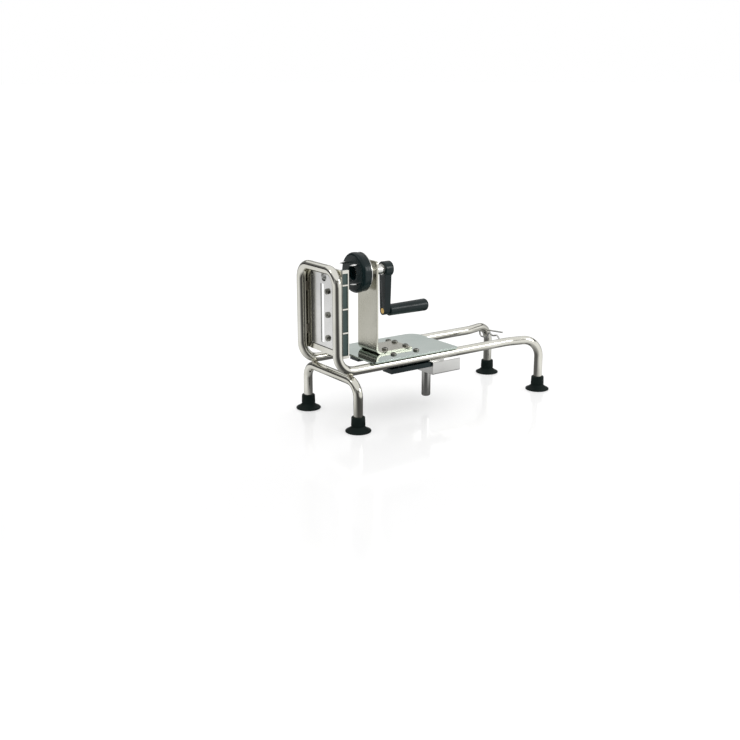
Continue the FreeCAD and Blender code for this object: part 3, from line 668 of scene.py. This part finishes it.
leg_points = [(FRONT_X, -FRONT_Y, FOOT_Z), (FRONT_X, -FRONT_Y, BAR_Z),
              (FRONT_X, FRONT_Y, BAR_Z), (FRONT_X, FRONT_Y, FOOT_Z)]
front_legs = bent_rod("front_legs", leg_points, [LEG_BEND, LEG_BEND], TUBE_R)
soften(front_legs, TUBE_EDGE)
install(front_legs, "frame", "stand_tube", tube_steel, "front_leg_hoop")

# %% [markdown]
# ## Suction feet
#
# Each foot is a moulded rubber cup: a collar that grips the tube, a thin groove, and a skirt that
# flares to a soft rim, hollow underneath. It is a lathe shape, so it grows from one ring. One foot
# is made and three copies are moved to the other legs.

# %% Suction feet
CUP_RINGS = [(7.0, 6.02), (19.1, 6.02), (19.5, 6.4), (19.5, 7.6), (19.2, 8.3), (18.5, 8.75),
             (14.0, 8.95), (9.0, 9.15), (8.4, 9.05), (7.9, 8.75), (7.4, 8.7), (6.6, 9.2),
             (5.4, 10.4), (4.1, 12.0), (2.9, 14.0), (2.0, 15.9), (1.5, 16.4), (0.9, 16.5),
             (0.35, 16.2), (0.0, 15.6), (0.0, 14.6), (0.7, 12.5), (2.0, 9.0), (3.0, 5.0),
             (3.4, 1.5)]   # millimetres: height, radius
CUP_SHARP = 50   # degrees
cups = {
    "suction_cup_front_left": (FRONT_X, -FRONT_Y, 0),
    "suction_cup_front_right": (FRONT_X, FRONT_Y, 0),
    "suction_cup_rear_left": (REAR_X, -REAR_Y, 0),
    "suction_cup_rear_right": (REAR_X, REAR_Y, 0),
}


def twin(source, move):
    """A copy of a piece with a mesh of its own, moved by a matrix."""
    copy = source.copy()
    copy.data = source.data.copy()
    copy.data.transform(move)
    bpy.context.scene.collection.objects.link(copy)
    return copy


first_cup = turned("suction_cup", (0, 0, 0), Z, [(at * MM, wide * MM) for at, wide in CUP_RINGS])
only(first_cup)
bpy.ops.object.shade_smooth_by_angle(angle=math.radians(CUP_SHARP))
for node, place in cups.items():
    cup = twin(first_cup, Matrix.Translation(place))
    cup.name = node.replace("suction_cup", "foot")
    install(cup, "frame", "rubber_foot", rubber, node)
bpy.data.objects.remove(first_cup)

# %% [markdown]
# ## Blade unit
#
# A folded sheet sits between the posts: its web faces the ribbon's way out and has one large
# window, and each flange has a column of small windows with a black guide strip behind them. The
# sheet is folded from a plane, given its thickness, and then the windows are cut.

# %% Blade frame
SHEET = 1.5 * MM
frame_low, frame_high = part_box("blade_frame")
WEB_WINDOW_HALF, WEB_SILL, WEB_HEAD = 28 * MM, 7 * MM, 5.5 * MM
FLANGE_TOP, FLANGE_FIRST, FLANGE_PITCH = 4 * MM, 14.5 * MM, 30 * MM
FLANGE_BRIDGE, FLANGE_FOOT, FLANGE_EDGE = 1.8 * MM, 1.5 * MM, 1.5 * MM
FOLD_ROUND = 1.0 * MM

middle_x = frame_low.x + SHEET / 2
middle_z = (frame_low.z + frame_high.z) / 2
web_size = (frame_high.z - frame_low.z, frame_high.y - frame_low.y - SHEET)
blade_frame = flat("blade_frame_sheet", (middle_x, 0, middle_z), web_size, (0, math.pi / 2, 0))
pull_edges(blade_frame, lambda at, edge: along(edge, Z), (frame_high.x - middle_x, 0, 0))
round_edges(blade_frame, lambda at, edge: along(edge, Z) and abs(at.x - middle_x) < NEAR,
            FOLD_ROUND, 4)
outwards(blade_frame)
apply_modifier(blade_frame, "SOLIDIFY", thickness=SHEET, offset=0.0)
cut_block(blade_frame, (frame_low.x - MM, -WEB_WINDOW_HALF, frame_low.z + WEB_SILL),
          (frame_low.x + 2 * SHEET, WEB_WINDOW_HALF, frame_high.z - WEB_HEAD))
window_top = frame_high.z - FLANGE_TOP
window_floor = frame_low.z + FLANGE_FOOT
bridge = window_top - FLANGE_FIRST
while window_top - window_floor > FLANGE_BRIDGE:
    window_low = max(bridge + FLANGE_BRIDGE / 2, window_floor)
    cut_block(blade_frame, (frame_low.x + SHEET, frame_low.y - MM, window_low),
              (frame_high.x - FLANGE_EDGE, frame_high.y + MM, window_top))
    window_top = bridge - FLANGE_BRIDGE / 2
    bridge -= FLANGE_PITCH
soften(blade_frame, 0.15 * MM)
install(blade_frame, "frame", "satin_sheet", tube_steel, "blade_frame")

# %% [markdown]
# ## Pieces softened from the CAD
#
# The guide strips, the cutting plate, the guide blocks and the blade are already right in shape.
# Their CAD meshes are loose triangles, so a copy is merged, its flat faces are joined up again,
# and every edge gets the small rounding that a saw, a mould or a press leaves.

# %% Softened copies
FLAT_ENOUGH = 1.0   # degrees


def softened_copy(node, name, body, slot, material, width):
    """A copy of a CAD node with merged faces and rounded edges, which stands for it."""
    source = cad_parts[node]
    piece = bpy.data.objects.new(name, source.data.copy())
    bpy.context.scene.collection.objects.link(piece)
    edit_whole(piece)
    bpy.ops.mesh.remove_doubles(threshold=MERGE)
    bpy.ops.mesh.dissolve_limited(angle_limit=math.radians(FLAT_ENOUGH))
    leave()
    soften(piece, width)
    install(piece, body, slot, material, node)


for softened in (
    ("guide_strip_left", "guide_strip_l", "frame", "black_plastic", strip_plastic, 0.2 * MM),
    ("guide_strip_right", "guide_strip_r", "frame", "black_plastic", strip_plastic, 0.2 * MM),
    ("cutting_plate", "blade_plate", "frame", "satin_sheet", edge_steel, 0.15 * MM),
    ("cutting_blade", "blade", "frame", "edge_steel", edge_steel, 0.05 * MM),
    ("guide_block_left", "rail_guide_l", "carriage", "black_plastic", black_plastic, 0.35 * MM),
    ("guide_block_right", "rail_guide_r", "carriage", "black_plastic", black_plastic, 0.35 * MM),
    ("leg_welds", "bar_welds", "frame", "weld", weld_steel, 0.2 * MM),
    ("frame_welds", "post_welds", "frame", "weld", weld_steel, 0.2 * MM),
):
    softened_copy(*softened)

# %% [markdown]
# ## Coring tube
#
# A short tube with a ground edge cuts the core out. It is turned with its bore open: its rings run
# along the bore, round the sharp lip and back outside.

# %% Coring tube
core_low, core_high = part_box("coring_tube")
CORE_R = 6.0 * MM
CORE_OUT = (core_high.y - core_low.y) / 2
CORE_LENGTH = core_high.x - core_low.x
CORE_EDGE = 2.5 * MM
CORE_LIP = 0.1 * MM
AXIS_Z = (core_low.z + core_high.z) / 2
core_rings = [(0, CORE_R), (CORE_LENGTH, CORE_R), (CORE_LENGTH, CORE_R + CORE_LIP),
              (CORE_LENGTH - CORE_EDGE, CORE_OUT), (0, CORE_OUT)]
coring_tube = turned("core_cutter", (core_low.x, 0, AXIS_Z), X, core_rings, closed=True)
soften(coring_tube, 0.08 * MM)
install(coring_tube, "frame", "edge_steel", edge_steel, "coring_tube")

# %% [markdown]
# ## Screws and nuts
#
# All the visible screws are pan heads with a hex socket. One head is turned from rings, its socket
# is cut with a six-sided prism, and copies go to the places of the CAD solids. The nuts are
# six-sided prisms with their corners turned off.

# %% Screws and nuts
SOCKET_SHARE = 0.52
FASTENER_EDGE = 0.08 * MM


def pan_screw(name, head_r, head_h, shank_r, shank):
    """A screw standing on the origin: seat at 0, head up, shank down."""
    rings = [(-shank, shank_r * 0.9), (-shank + 0.3 * MM, shank_r), (0.0, shank_r),
             (0, head_r - 0.1 * MM), (0.15 * MM, head_r)]
    rings += arc((head_h * 0.35, head_r - head_h * 0.65), head_h * 0.65, 90, 0, 6)
    screw = turned(name, (0, 0, 0), Z, rings, vertices=32)
    clear_selection()
    bpy.ops.mesh.primitive_cylinder_add(vertices=6, radius=head_r * SOCKET_SHARE, depth=head_h * 1.2,
                                        location=(0, 0, head_h))
    boolean(screw, settle(), "DIFFERENCE")
    soften(screw, FASTENER_EDGE)
    return screw


def seated(place, axis):
    """Turns a fastener from the origin to its axis and moves it to its place."""
    return Matrix.Translation(place) @ Vector(axis).to_track_quat("Z", "Y").to_matrix().to_4x4()


def place_copies(source, name, places, axis, body, slot, material, node, turn=0.0):
    """Copies of a fastener, each turned to its axis and moved to its place, as one piece."""
    copies = []
    for count, place in enumerate(places):
        spin = Matrix.Rotation(math.radians(turn * (count + 1)), 4, "Z")
        copies.append(twin(source, seated(place, axis) @ spin))
    install(join(copies, name), body, slot, material, node)


def box_middle(corners):
    return (corners[0] + corners[1]) / 2


M4_HEAD_R, M4_HEAD_H, M4_R = 4.0 * MM, 2.4 * MM, 2.0 * MM
M5_HEAD_R, M5_HEAD_H, M5_R = 4.5 * MM, 2.8 * MM, 2.5 * MM

for node, name, turn in (("foot_screws", "bracket_screws", 37), ("block_screws", "guide_screws", 23)):
    boxes = solids(node)
    seat_z = boxes[0][1].z - M4_HEAD_H
    one = pan_screw("plate_screw", M4_HEAD_R, M4_HEAD_H, M4_R, seat_z - boxes[0][0].z)
    places = [(box_middle(corners).x, box_middle(corners).y, seat_z) for corners in boxes]
    place_copies(one, name, places, Z, "carriage", "fastener_steel", screw_steel, node, turn)
    bpy.data.objects.remove(one)

for node, name in (("plate_screws", "blade_plate_screws"), ("blade_screws", "blade_clamp_screws")):
    boxes = solids(node)
    seat_x = boxes[0][1].x - M4_HEAD_H
    one = pan_screw(name, M4_HEAD_R, M4_HEAD_H, M4_R, seat_x - boxes[0][0].x)
    places = [(seat_x, box_middle(corners).y, box_middle(corners).z) for corners in boxes]
    place_copies(one, name, places, X, "frame", "fastener_steel", screw_steel, node, 41)
    bpy.data.objects.remove(one)

spindle_boxes = solids("spindle_screws")
front_box, rear_box = spindle_boxes[0], spindle_boxes[-1]
front_one = pan_screw("spindle_screw", M5_HEAD_R, M5_HEAD_H, M5_R,
                      front_box[1].x - front_box[0].x - M5_HEAD_H)
rear_seat = (rear_box[1].x - M5_HEAD_H, 0, AXIS_Z)
front_seat = (front_box[0].x + M5_HEAD_H, 0, AXIS_Z)
rear_copy = twin(front_one, seated(rear_seat, X))
front_one.data.transform(seated(front_seat, -X))
install(join([front_one, rear_copy], "spindle_end_screws"), "spindle", "fastener_steel", screw_steel,
        "spindle_screws")

pin_screw_low, pin_screw_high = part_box("pin_screw")
pin_screw_seat = pin_screw_high.z - M5_HEAD_H
pin_screw = pan_screw("pin_screw_one", M5_HEAD_R, M5_HEAD_H, M5_R, pin_screw_seat - pin_screw_low.z)
pin_screw_at = box_middle((pin_screw_low, pin_screw_high))
place_copies(pin_screw, "pin_fixing_screw", [(pin_screw_at.x, pin_screw_at.y, pin_screw_seat)], Z,
             "carriage", "fastener_steel", screw_steel, "pin_screw")
bpy.data.objects.remove(pin_screw)


def hex_nut(name, across, height):
    """A six-sided nut standing on the origin, its corners turned off top and bottom."""
    clear_selection()
    radius = across / 2 / math.cos(math.pi / 6)
    bpy.ops.mesh.primitive_cylinder_add(vertices=6, radius=radius, depth=height, location=(0, 0, height / 2))
    nut = settle()
    nut.name = name
    cone_rings = [(0, across / 2 * 0.97), (height * 0.18, radius), (height * 0.82, radius),
                  (height, across / 2 * 0.97)]
    boolean(nut, turned("corner_cone", (0, 0, 0), Z, cone_rings), "INTERSECT")
    soften(nut, FASTENER_EDGE)
    return nut


NUT_ACROSS, NUT_HEIGHT = 7.0 * MM, 2.4 * MM
for node, name, axis, body in (("blade_nuts", "blade_clamp_nuts", -X, "frame"),
                               ("foot_nuts", "bracket_nuts", -Z, "carriage")):
    nut = hex_nut("nut", NUT_ACROSS, NUT_HEIGHT)
    places = []
    for corners in solids(node):
        seat = box_middle(corners)
        seat.x, seat.z = (corners[1].x, seat.z) if axis == -X else (seat.x, corners[1].z)
        places.append(seat)
    place_copies(nut, name, places, axis, body, "fastener_steel", screw_steel, node, 17)
    bpy.data.objects.remove(nut)

# %% [markdown]
# ## Carriage plate
#
# The plate that slides over the rails is a flat blank with rounded corners, larger on one rear
# corner. Nothing in it is folded, so it starts as a block.

# %% Carriage plate
plate_low, plate_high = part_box("carriage_plate")
SMALL_CORNER, LARGE_CORNER = 5 * MM, 16 * MM

plate = block("slide_plate", plate_low, plate_high)
round_edges(plate, lambda at, edge: along(edge, Z) and not (at.x > 0 and at.y > 0), SMALL_CORNER, 8)
round_edges(plate, lambda at, edge: (along(edge, Z) and at.x > plate_high.x - NEAR
                                     and at.y > plate_high.y - NEAR), LARGE_CORNER, 14)
soften(plate, 0.2 * MM)
install(plate, "carriage", "satin_sheet", sheet_steel, "carriage_plate")

# %% [markdown]
# ## Upright
#
# One folded strip carries the spindle. It is made the way it is folded: a plane, its edge pulled
# up, the fold and the top corners rounded, and only then its thickness.

# %% Upright
upright_low, upright_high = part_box("upright_bracket")
UPRIGHT_T = 3.0 * MM
UPRIGHT_BEND = 8.0 * MM
UPRIGHT_CORNER = 4.0 * MM

fold_x = upright_low.x + UPRIGHT_T / 2
fold_z = upright_low.z + UPRIGHT_T / 2
foot_length = upright_high.x - fold_x
upright_width = upright_high.y - upright_low.y
upright = flat("spindle_upright", (fold_x + foot_length / 2, 0, fold_z), (foot_length, upright_width))
pull_edges(upright, lambda at, edge: at.x < fold_x + NEAR, (0, 0, upright_high.z - fold_z))
round_edges(upright, lambda at, edge: along(edge, Y) and at.x < fold_x + NEAR and at.z < fold_z + NEAR,
            UPRIGHT_BEND - UPRIGHT_T / 2, 10)
round_edges(upright, lambda at, vertex: at.z > upright_high.z - NEAR, UPRIGHT_CORNER, 6, "VERT")
outwards(upright)
apply_modifier(upright, "SOLIDIFY", thickness=UPRIGHT_T, offset=0.0)
soften(upright, 0.25 * MM, 3)
install(upright, "carriage", "satin_sheet", upright_steel, "upright_bracket")

# %% [markdown]
# ## Box under the plate
#
# Under the plate's rear half hangs a sheet folded like a hat, with turned-up lips and two small
# front tabs. It is folded edge by edge, and the tabs are joined on.

# %% Box under the plate
hanger_low, hanger_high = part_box("hanger")
RISER = 16 * MM
LIP_GAP = 1.0 * MM
LIP_TOP = RAIL_Z - TUBE_R - LIP_GAP

half_t = SHEET / 2
box_length = hanger_high.x - hanger_low.x
box_mid_x = (hanger_low.x + hanger_high.x) / 2
riser_y = RISER - half_t
lip_y = hanger_high.y - half_t
top_z, floor_z = hanger_high.z - half_t, hanger_low.z + half_t


def at_floor(at, edge):
    """True for the lengthwise edges at the height of the box's floor."""
    return along(edge, X) and at.z < floor_z + NEAR


box_sheet = flat("box_hanger", (box_mid_x, 0, top_z), (box_length, 2 * riser_y))
pull_edges(box_sheet, lambda at, edge: along(edge, X), (0, 0, floor_z - top_z))
for side in (-1, 1):
    pull_edges(box_sheet, lambda at, edge: at_floor(at, edge) and at.y * side > 0,
               (0, side * (lip_y - riser_y), 0))
    pull_edges(box_sheet, lambda at, edge: at_floor(at, edge) and at.y * side > lip_y - NEAR,
               (0, 0, LIP_TOP - floor_z))
round_edges(box_sheet, lambda at, edge: along(edge, X) and edge.is_manifold, FOLD_ROUND, 4)
outwards(box_sheet)
apply_modifier(box_sheet, "SOLIDIFY", thickness=SHEET, offset=0.0)
for side in (-1, 1):
    ends = sorted((side * (RISER - SHEET), side * (hanger_high.y - 0.4 * MM)))
    tab = block("tab", (hanger_low.x, ends[0], hanger_low.z + 0.2 * MM),
                (hanger_low.x + SHEET, ends[1], LIP_TOP))
    boolean(box_sheet, tab, "UNION")
soften(box_sheet, 0.2 * MM)
install(box_sheet, "carriage", "satin_sheet", box_steel, "hanger")

# %% [markdown]
# ## Push pin
#
# A plain turned pin hangs under the plate's left side. Its lower end has the larger chamfer.

# %% Push pin
pin_low, pin_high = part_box("push_pin")
PIN_CHAMFER = 1.2 * MM
PIN_TOP_CHAMFER = 0.3 * MM

pin_mid = box_middle((pin_low, pin_high))
pin_r = (pin_high.x - pin_low.x) / 2
pin_length = pin_high.z - pin_low.z
pin_rings = [(0, pin_r - PIN_CHAMFER), (PIN_CHAMFER, pin_r), (pin_length - PIN_TOP_CHAMFER, pin_r),
             (pin_length, pin_r - PIN_TOP_CHAMFER)]
push_pin = turned("stop_pin", (pin_mid.x, pin_mid.y, pin_low.z), Z, pin_rings)
soften(push_pin, 0.25 * MM, 3, 25)
install(push_pin, "carriage", "turned_steel", turned_steel, "push_pin")

# %% [markdown]
# ## Spindle
#
# Bush, shaft, disc, steel ring, washer and hub all share one axis, so each is turned ring by ring
# about it. The bush stays in the upright while the shaft turns in it.

# %% Bush, shaft and washer
bush_low, bush_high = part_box("bearing_bush")
BUSH_BORE, BUSH_R, COLLAR_R = 4.05 * MM, 6.0 * MM, 10.0 * MM

axis_at = Vector((0, 0, AXIS_Z))
bush_length = bush_high.x - bush_low.x
collar_length = upright_low.x - bush_low.x
bush_rings = [(0, BUSH_BORE), (bush_length, BUSH_BORE), (bush_length, BUSH_R), (collar_length, BUSH_R),
              (collar_length, COLLAR_R), (0, COLLAR_R)]
bush = turned("bush", axis_at + X * bush_low.x, X, bush_rings, closed=True)
soften(bush, 0.3 * MM, 3)
install(bush, "carriage", "turned_steel", turned_steel, "bearing_bush")

shaft_low, shaft_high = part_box("spindle_shaft")
SHAFT_R = (shaft_high.y - shaft_low.y) / 2
SHAFT_CHAMFER = 0.4 * MM
shaft_length = shaft_high.x - shaft_low.x
shaft_rings = [(0, SHAFT_R - SHAFT_CHAMFER), (SHAFT_CHAMFER, SHAFT_R),
               (shaft_length - SHAFT_CHAMFER, SHAFT_R), (shaft_length, SHAFT_R - SHAFT_CHAMFER)]
shaft = turned("main_shaft", axis_at + X * shaft_low.x, X, shaft_rings)
soften(shaft, 0.1 * MM)
install(shaft, "spindle", "turned_steel", turned_steel, "spindle_shaft")

washer_low, washer_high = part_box("thrust_washer")
washer_t = washer_high.x - washer_low.x
washer_r = (washer_high.y - washer_low.y) / 2
washer = turned("hub_washer", axis_at + X * washer_low.x, X,
                [(0, SHAFT_R), (washer_t, SHAFT_R), (washer_t, washer_r), (0, washer_r)], closed=True)
soften(washer, 0.15 * MM)
install(washer, "spindle", "turned_steel", turned_steel, "thrust_washer")

# %% [markdown]
# ## Disc
#
# The disc is a black moulding with a rounded front rim, a recess for the end of the core and a
# small step towards its back, where a thin steel ring backs it. Both are turned.

# %% Disc
disc_low, disc_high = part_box("drive_disc")
DISC_R = (disc_high.y - disc_low.y) / 2
DISC_T = disc_high.x - disc_low.x
RECESS_R, RECESS, RECESS_EDGE = 9.0 * MM, 9.0 * MM, 0.6 * MM
DISC_ROUND, DISC_STEP = 4.0 * MM, 0.8 * MM
WAIST = DISC_T * 0.65

disc_rings = [(DISC_T, SHAFT_R), (RECESS, SHAFT_R), (RECESS, RECESS_R), (RECESS_EDGE, RECESS_R),
              (0, RECESS_R + RECESS_EDGE)]
disc_rings += arc((DISC_ROUND, DISC_R - DISC_ROUND), DISC_ROUND, 180, 90, 8)
disc_rings += [(WAIST - DISC_STEP, DISC_R), (WAIST, DISC_R - DISC_STEP), (DISC_T, DISC_R - DISC_STEP)]
disc = turned("apple_disc", axis_at + X * disc_low.x, X, disc_rings, closed=True, vertices=96)
soften(disc, 0.3 * MM, 3)
install(disc, "spindle", "black_plastic", black_plastic, "drive_disc")

ring_low, ring_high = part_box("backing_ring")
ring_t = ring_high.x - ring_low.x
ring_r = (ring_high.y - ring_low.y) / 2
backing = turned("disc_ring", axis_at + X * ring_low.x, X,
                 [(0, SHAFT_R), (0, ring_r), (ring_t - 0.3 * MM, ring_r), (ring_t, ring_r - 0.3 * MM),
                  (ring_t, SHAFT_R)], closed=True, vertices=96)
soften(backing, 0.12 * MM)
install(backing, "spindle", "turned_steel", turned_steel, "backing_ring")

# %% [markdown]
# ## Prongs
#
# Four pointed pins hold the apple on the disc. One is turned and placed four times.

# %% Prongs
prong_boxes = solids("prongs")
prong_length = prong_boxes[0][1].x - prong_boxes[0][0].x
prong_r = (prong_boxes[0][1].y - prong_boxes[0][0].y) / 2
PRONG_POINT = 5.0 * MM
one_prong = turned("prong", (0, 0, 0), Z,
                   [(0, prong_r), (prong_length - PRONG_POINT, prong_r), (prong_length - 0.3 * MM, 0.2 * MM),
                    (prong_length, 0.05 * MM)], vertices=24)
soften(one_prong, 0.15 * MM)
places = [(corners[1].x, box_middle(corners).y, box_middle(corners).z) for corners in prong_boxes]
place_copies(one_prong, "apple_prongs", places, -X, "spindle", "edge_steel", edge_steel, "prongs")
bpy.data.objects.remove(one_prong)

# %% [markdown]
# ## Crank
#
# The crank is one black moulding: a round hub, a tapered arm that hangs from it, and a rounded
# lower end. Hub and arm are shaped apart with soft edges and then joined into one skin.

# %% Crank arm
arm_low, arm_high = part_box("crank_arm")
knob_low, knob_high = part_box("knob")
axle_low, axle_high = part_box("knob_axle")
HUB_R = (arm_high.y - arm_low.y) / 2
HUB_EDGE = 1.0 * MM
AXLE_HOLE_R, AXLE_HOLE = 3.9 * MM, 1.5 * MM
ARM_TOP_T = 10.5 * MM
ARM_TOP_W, ARM_LOW_W = 13.5 * MM, 11.0 * MM

KNOB_Z = (knob_low.z + knob_high.z) / 2
hub_length = arm_high.x - arm_low.x
hub_rings = [(0, HUB_R - HUB_EDGE * 0.5), (HUB_EDGE * 0.5, HUB_R)]
hub_rings += [(hub_length - HUB_EDGE, HUB_R)]
hub_rings += arc((hub_length - HUB_EDGE, HUB_R - HUB_EDGE), HUB_EDGE, 90, 0, 4)
hub = turned("crank", axis_at + X * arm_low.x, X, hub_rings)

lower_front = axle_low.x
lower_back = knob_low.x - 0.3 * MM
bar = block("bar", (arm_low.x, -ARM_TOP_W / 2, KNOB_Z), (arm_low.x + ARM_TOP_T, ARM_TOP_W / 2, AXIS_Z))
edit(bar)
pick(bar, "FACE", lambda at, face: at.z < KNOB_Z + NEAR)
share_y = ARM_LOW_W / ARM_TOP_W
share_x = (lower_back - lower_front) / ARM_TOP_T
bpy.ops.transform.resize(value=(share_x, share_y, 1), center_override=(arm_low.x, 0, KNOB_Z))
bpy.ops.transform.translate(value=(lower_front - arm_low.x, 0, 0))
leave()
boss_length = lower_back - lower_front
boss = turned("boss", (lower_front, 0, KNOB_Z), X, [(0, ARM_LOW_W / 2), (boss_length, ARM_LOW_W / 2)])
boolean(bar, boss, "UNION")
soften(bar, 1.1 * MM, 4, 40)
boolean(hub, bar, "UNION")
axle_recess = turned("recess", (lower_front - MM, 0, KNOB_Z), X,
                     [(0, AXLE_HOLE_R), (MM + AXLE_HOLE, AXLE_HOLE_R)])
boolean(hub, axle_recess, "DIFFERENCE")
only(hub)
bpy.ops.object.shade_smooth_by_angle(angle=math.radians(32))
install(hub, "spindle", "black_plastic", black_plastic, "crank_arm")

# %% [markdown]
# ## Axle and knob
#
# The knob is a barrel grip that widens towards its rounded end. It turns on a brass axle, whose
# head shows in the arm. Both are turned, the knob with its bore open.

# %% Axle and knob
AXLE_HEAD_R, AXLE_HEAD_T, AXLE_R = 3.8 * MM, 1.5 * MM, 3.0 * MM
AXLE_END_R, AXLE_END_T = 4.6 * MM, 2.0 * MM
KNOB_IN = 7.6 * MM
KNOB_OUT = (knob_high.y - knob_low.y) / 2
KNOB_ROUND = 3.5 * MM
SOCKET_R, SOCKET = 5.2 * MM, 5.5 * MM

axle_length = axle_high.x - axle_low.x
axle_rings = [(0.1 * MM, AXLE_HEAD_R - 0.3 * MM), (0.3 * MM, AXLE_HEAD_R),
              (AXLE_HEAD_T, AXLE_HEAD_R), (AXLE_HEAD_T, AXLE_R),
              (axle_length - AXLE_END_T, AXLE_R), (axle_length - AXLE_END_T, AXLE_END_R),
              (axle_length - 0.4 * MM, AXLE_END_R), (axle_length, AXLE_END_R - 0.4 * MM)]
axle = turned("brass_axle", (axle_low.x, 0, KNOB_Z), X, axle_rings)
soften(axle, 0.1 * MM)
install(axle, "spindle", "brass", brass, "knob_axle")

knob_length = knob_high.x - knob_low.x
KNOB_BORE = AXLE_R + 0.05 * MM
knob_rings = [(0, KNOB_BORE), (knob_length - SOCKET, KNOB_BORE), (knob_length - SOCKET, SOCKET_R),
              (knob_length - 0.8 * MM, SOCKET_R), (knob_length - 0.15 * MM, SOCKET_R + 0.5 * MM)]
knob_rings += arc((knob_length - KNOB_ROUND, KNOB_OUT - KNOB_ROUND), KNOB_ROUND, 25, 90, 8)
knob_rings += [(knob_length * 0.5, (KNOB_OUT + KNOB_IN) / 2), (0.8 * MM, KNOB_IN + 0.01 * MM),
               (0, KNOB_IN - 0.6 * MM)]
knob = turned("crank_knob", (knob_low.x, 0, KNOB_Z), X, knob_rings, closed=True)
soften(knob, 0.3 * MM, 3)
install(knob, "knob", "black_plastic", black_plastic, "knob")

# %% [markdown]
# ## Hairpin clip
#
# A bent wire: one straight leg goes through the tube, the wire turns back in a bow, and the other
# leg waves along under the first one to a hooked end. It is the bent-rod tool again, thinner.

# %% Hairpin clip
clip_low, clip_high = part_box("clip_wire")
WIRE_R = 1.25 * MM
CLIP_TILT = math.radians(5.0)
CLIP_REACH, BOW_OUT, BOW_R = 39.5 * MM, 6.0 * MM, 5.6 * MM
WAVE, FLAT_RISE, PINCH_GAP = 7.3 * MM, 1.7 * MM, 0.8 * MM

inward = Vector((0, -math.cos(CLIP_TILT), math.sin(CLIP_TILT)))
down = Vector((0, -math.sin(CLIP_TILT), -math.cos(CLIP_TILT)))
tip = Vector(((clip_low.x + clip_high.x) / 2, clip_low.y + WIRE_R * math.sin(CLIP_TILT),
              clip_high.z - WIRE_R * math.cos(CLIP_TILT)))
hole = tip - inward * CLIP_REACH


def clip_route(stations):
    """Points of the wire from distances along it past the hole and down from it."""
    return [hole + inward * run + down * drop for run, drop in stations]


bow_turn = BOW_R * 0.999   # a hair under the bow, so a short straight run stays between its bends
clip_stations = [(CLIP_REACH, 0), (-BOW_OUT - BOW_R, 0), (-BOW_OUT - BOW_R, BOW_R * 2),
                 (3.5 * MM, BOW_R * 2), (9.5 * MM, 2 * WIRE_R + PINCH_GAP), (17.0 * MM, WAVE),
                 (27.5 * MM, WAVE - FLAT_RISE), (32.0 * MM, WAVE - FLAT_RISE + 6.0 * MM)]
clip_bends = [bow_turn, bow_turn, WIRE_R * 2.4, WIRE_R * 1.8, WIRE_R * 3.2, WIRE_R * 2]
clip = bent_rod("hairpin_clip", clip_route(clip_stations), clip_bends, WIRE_R, vertices=20, steps=10)
soften(clip, 0.35 * MM, 3)
install(clip, "clip", "spring_wire", wire_steel, "clip_wire", "clip_spring_leg")
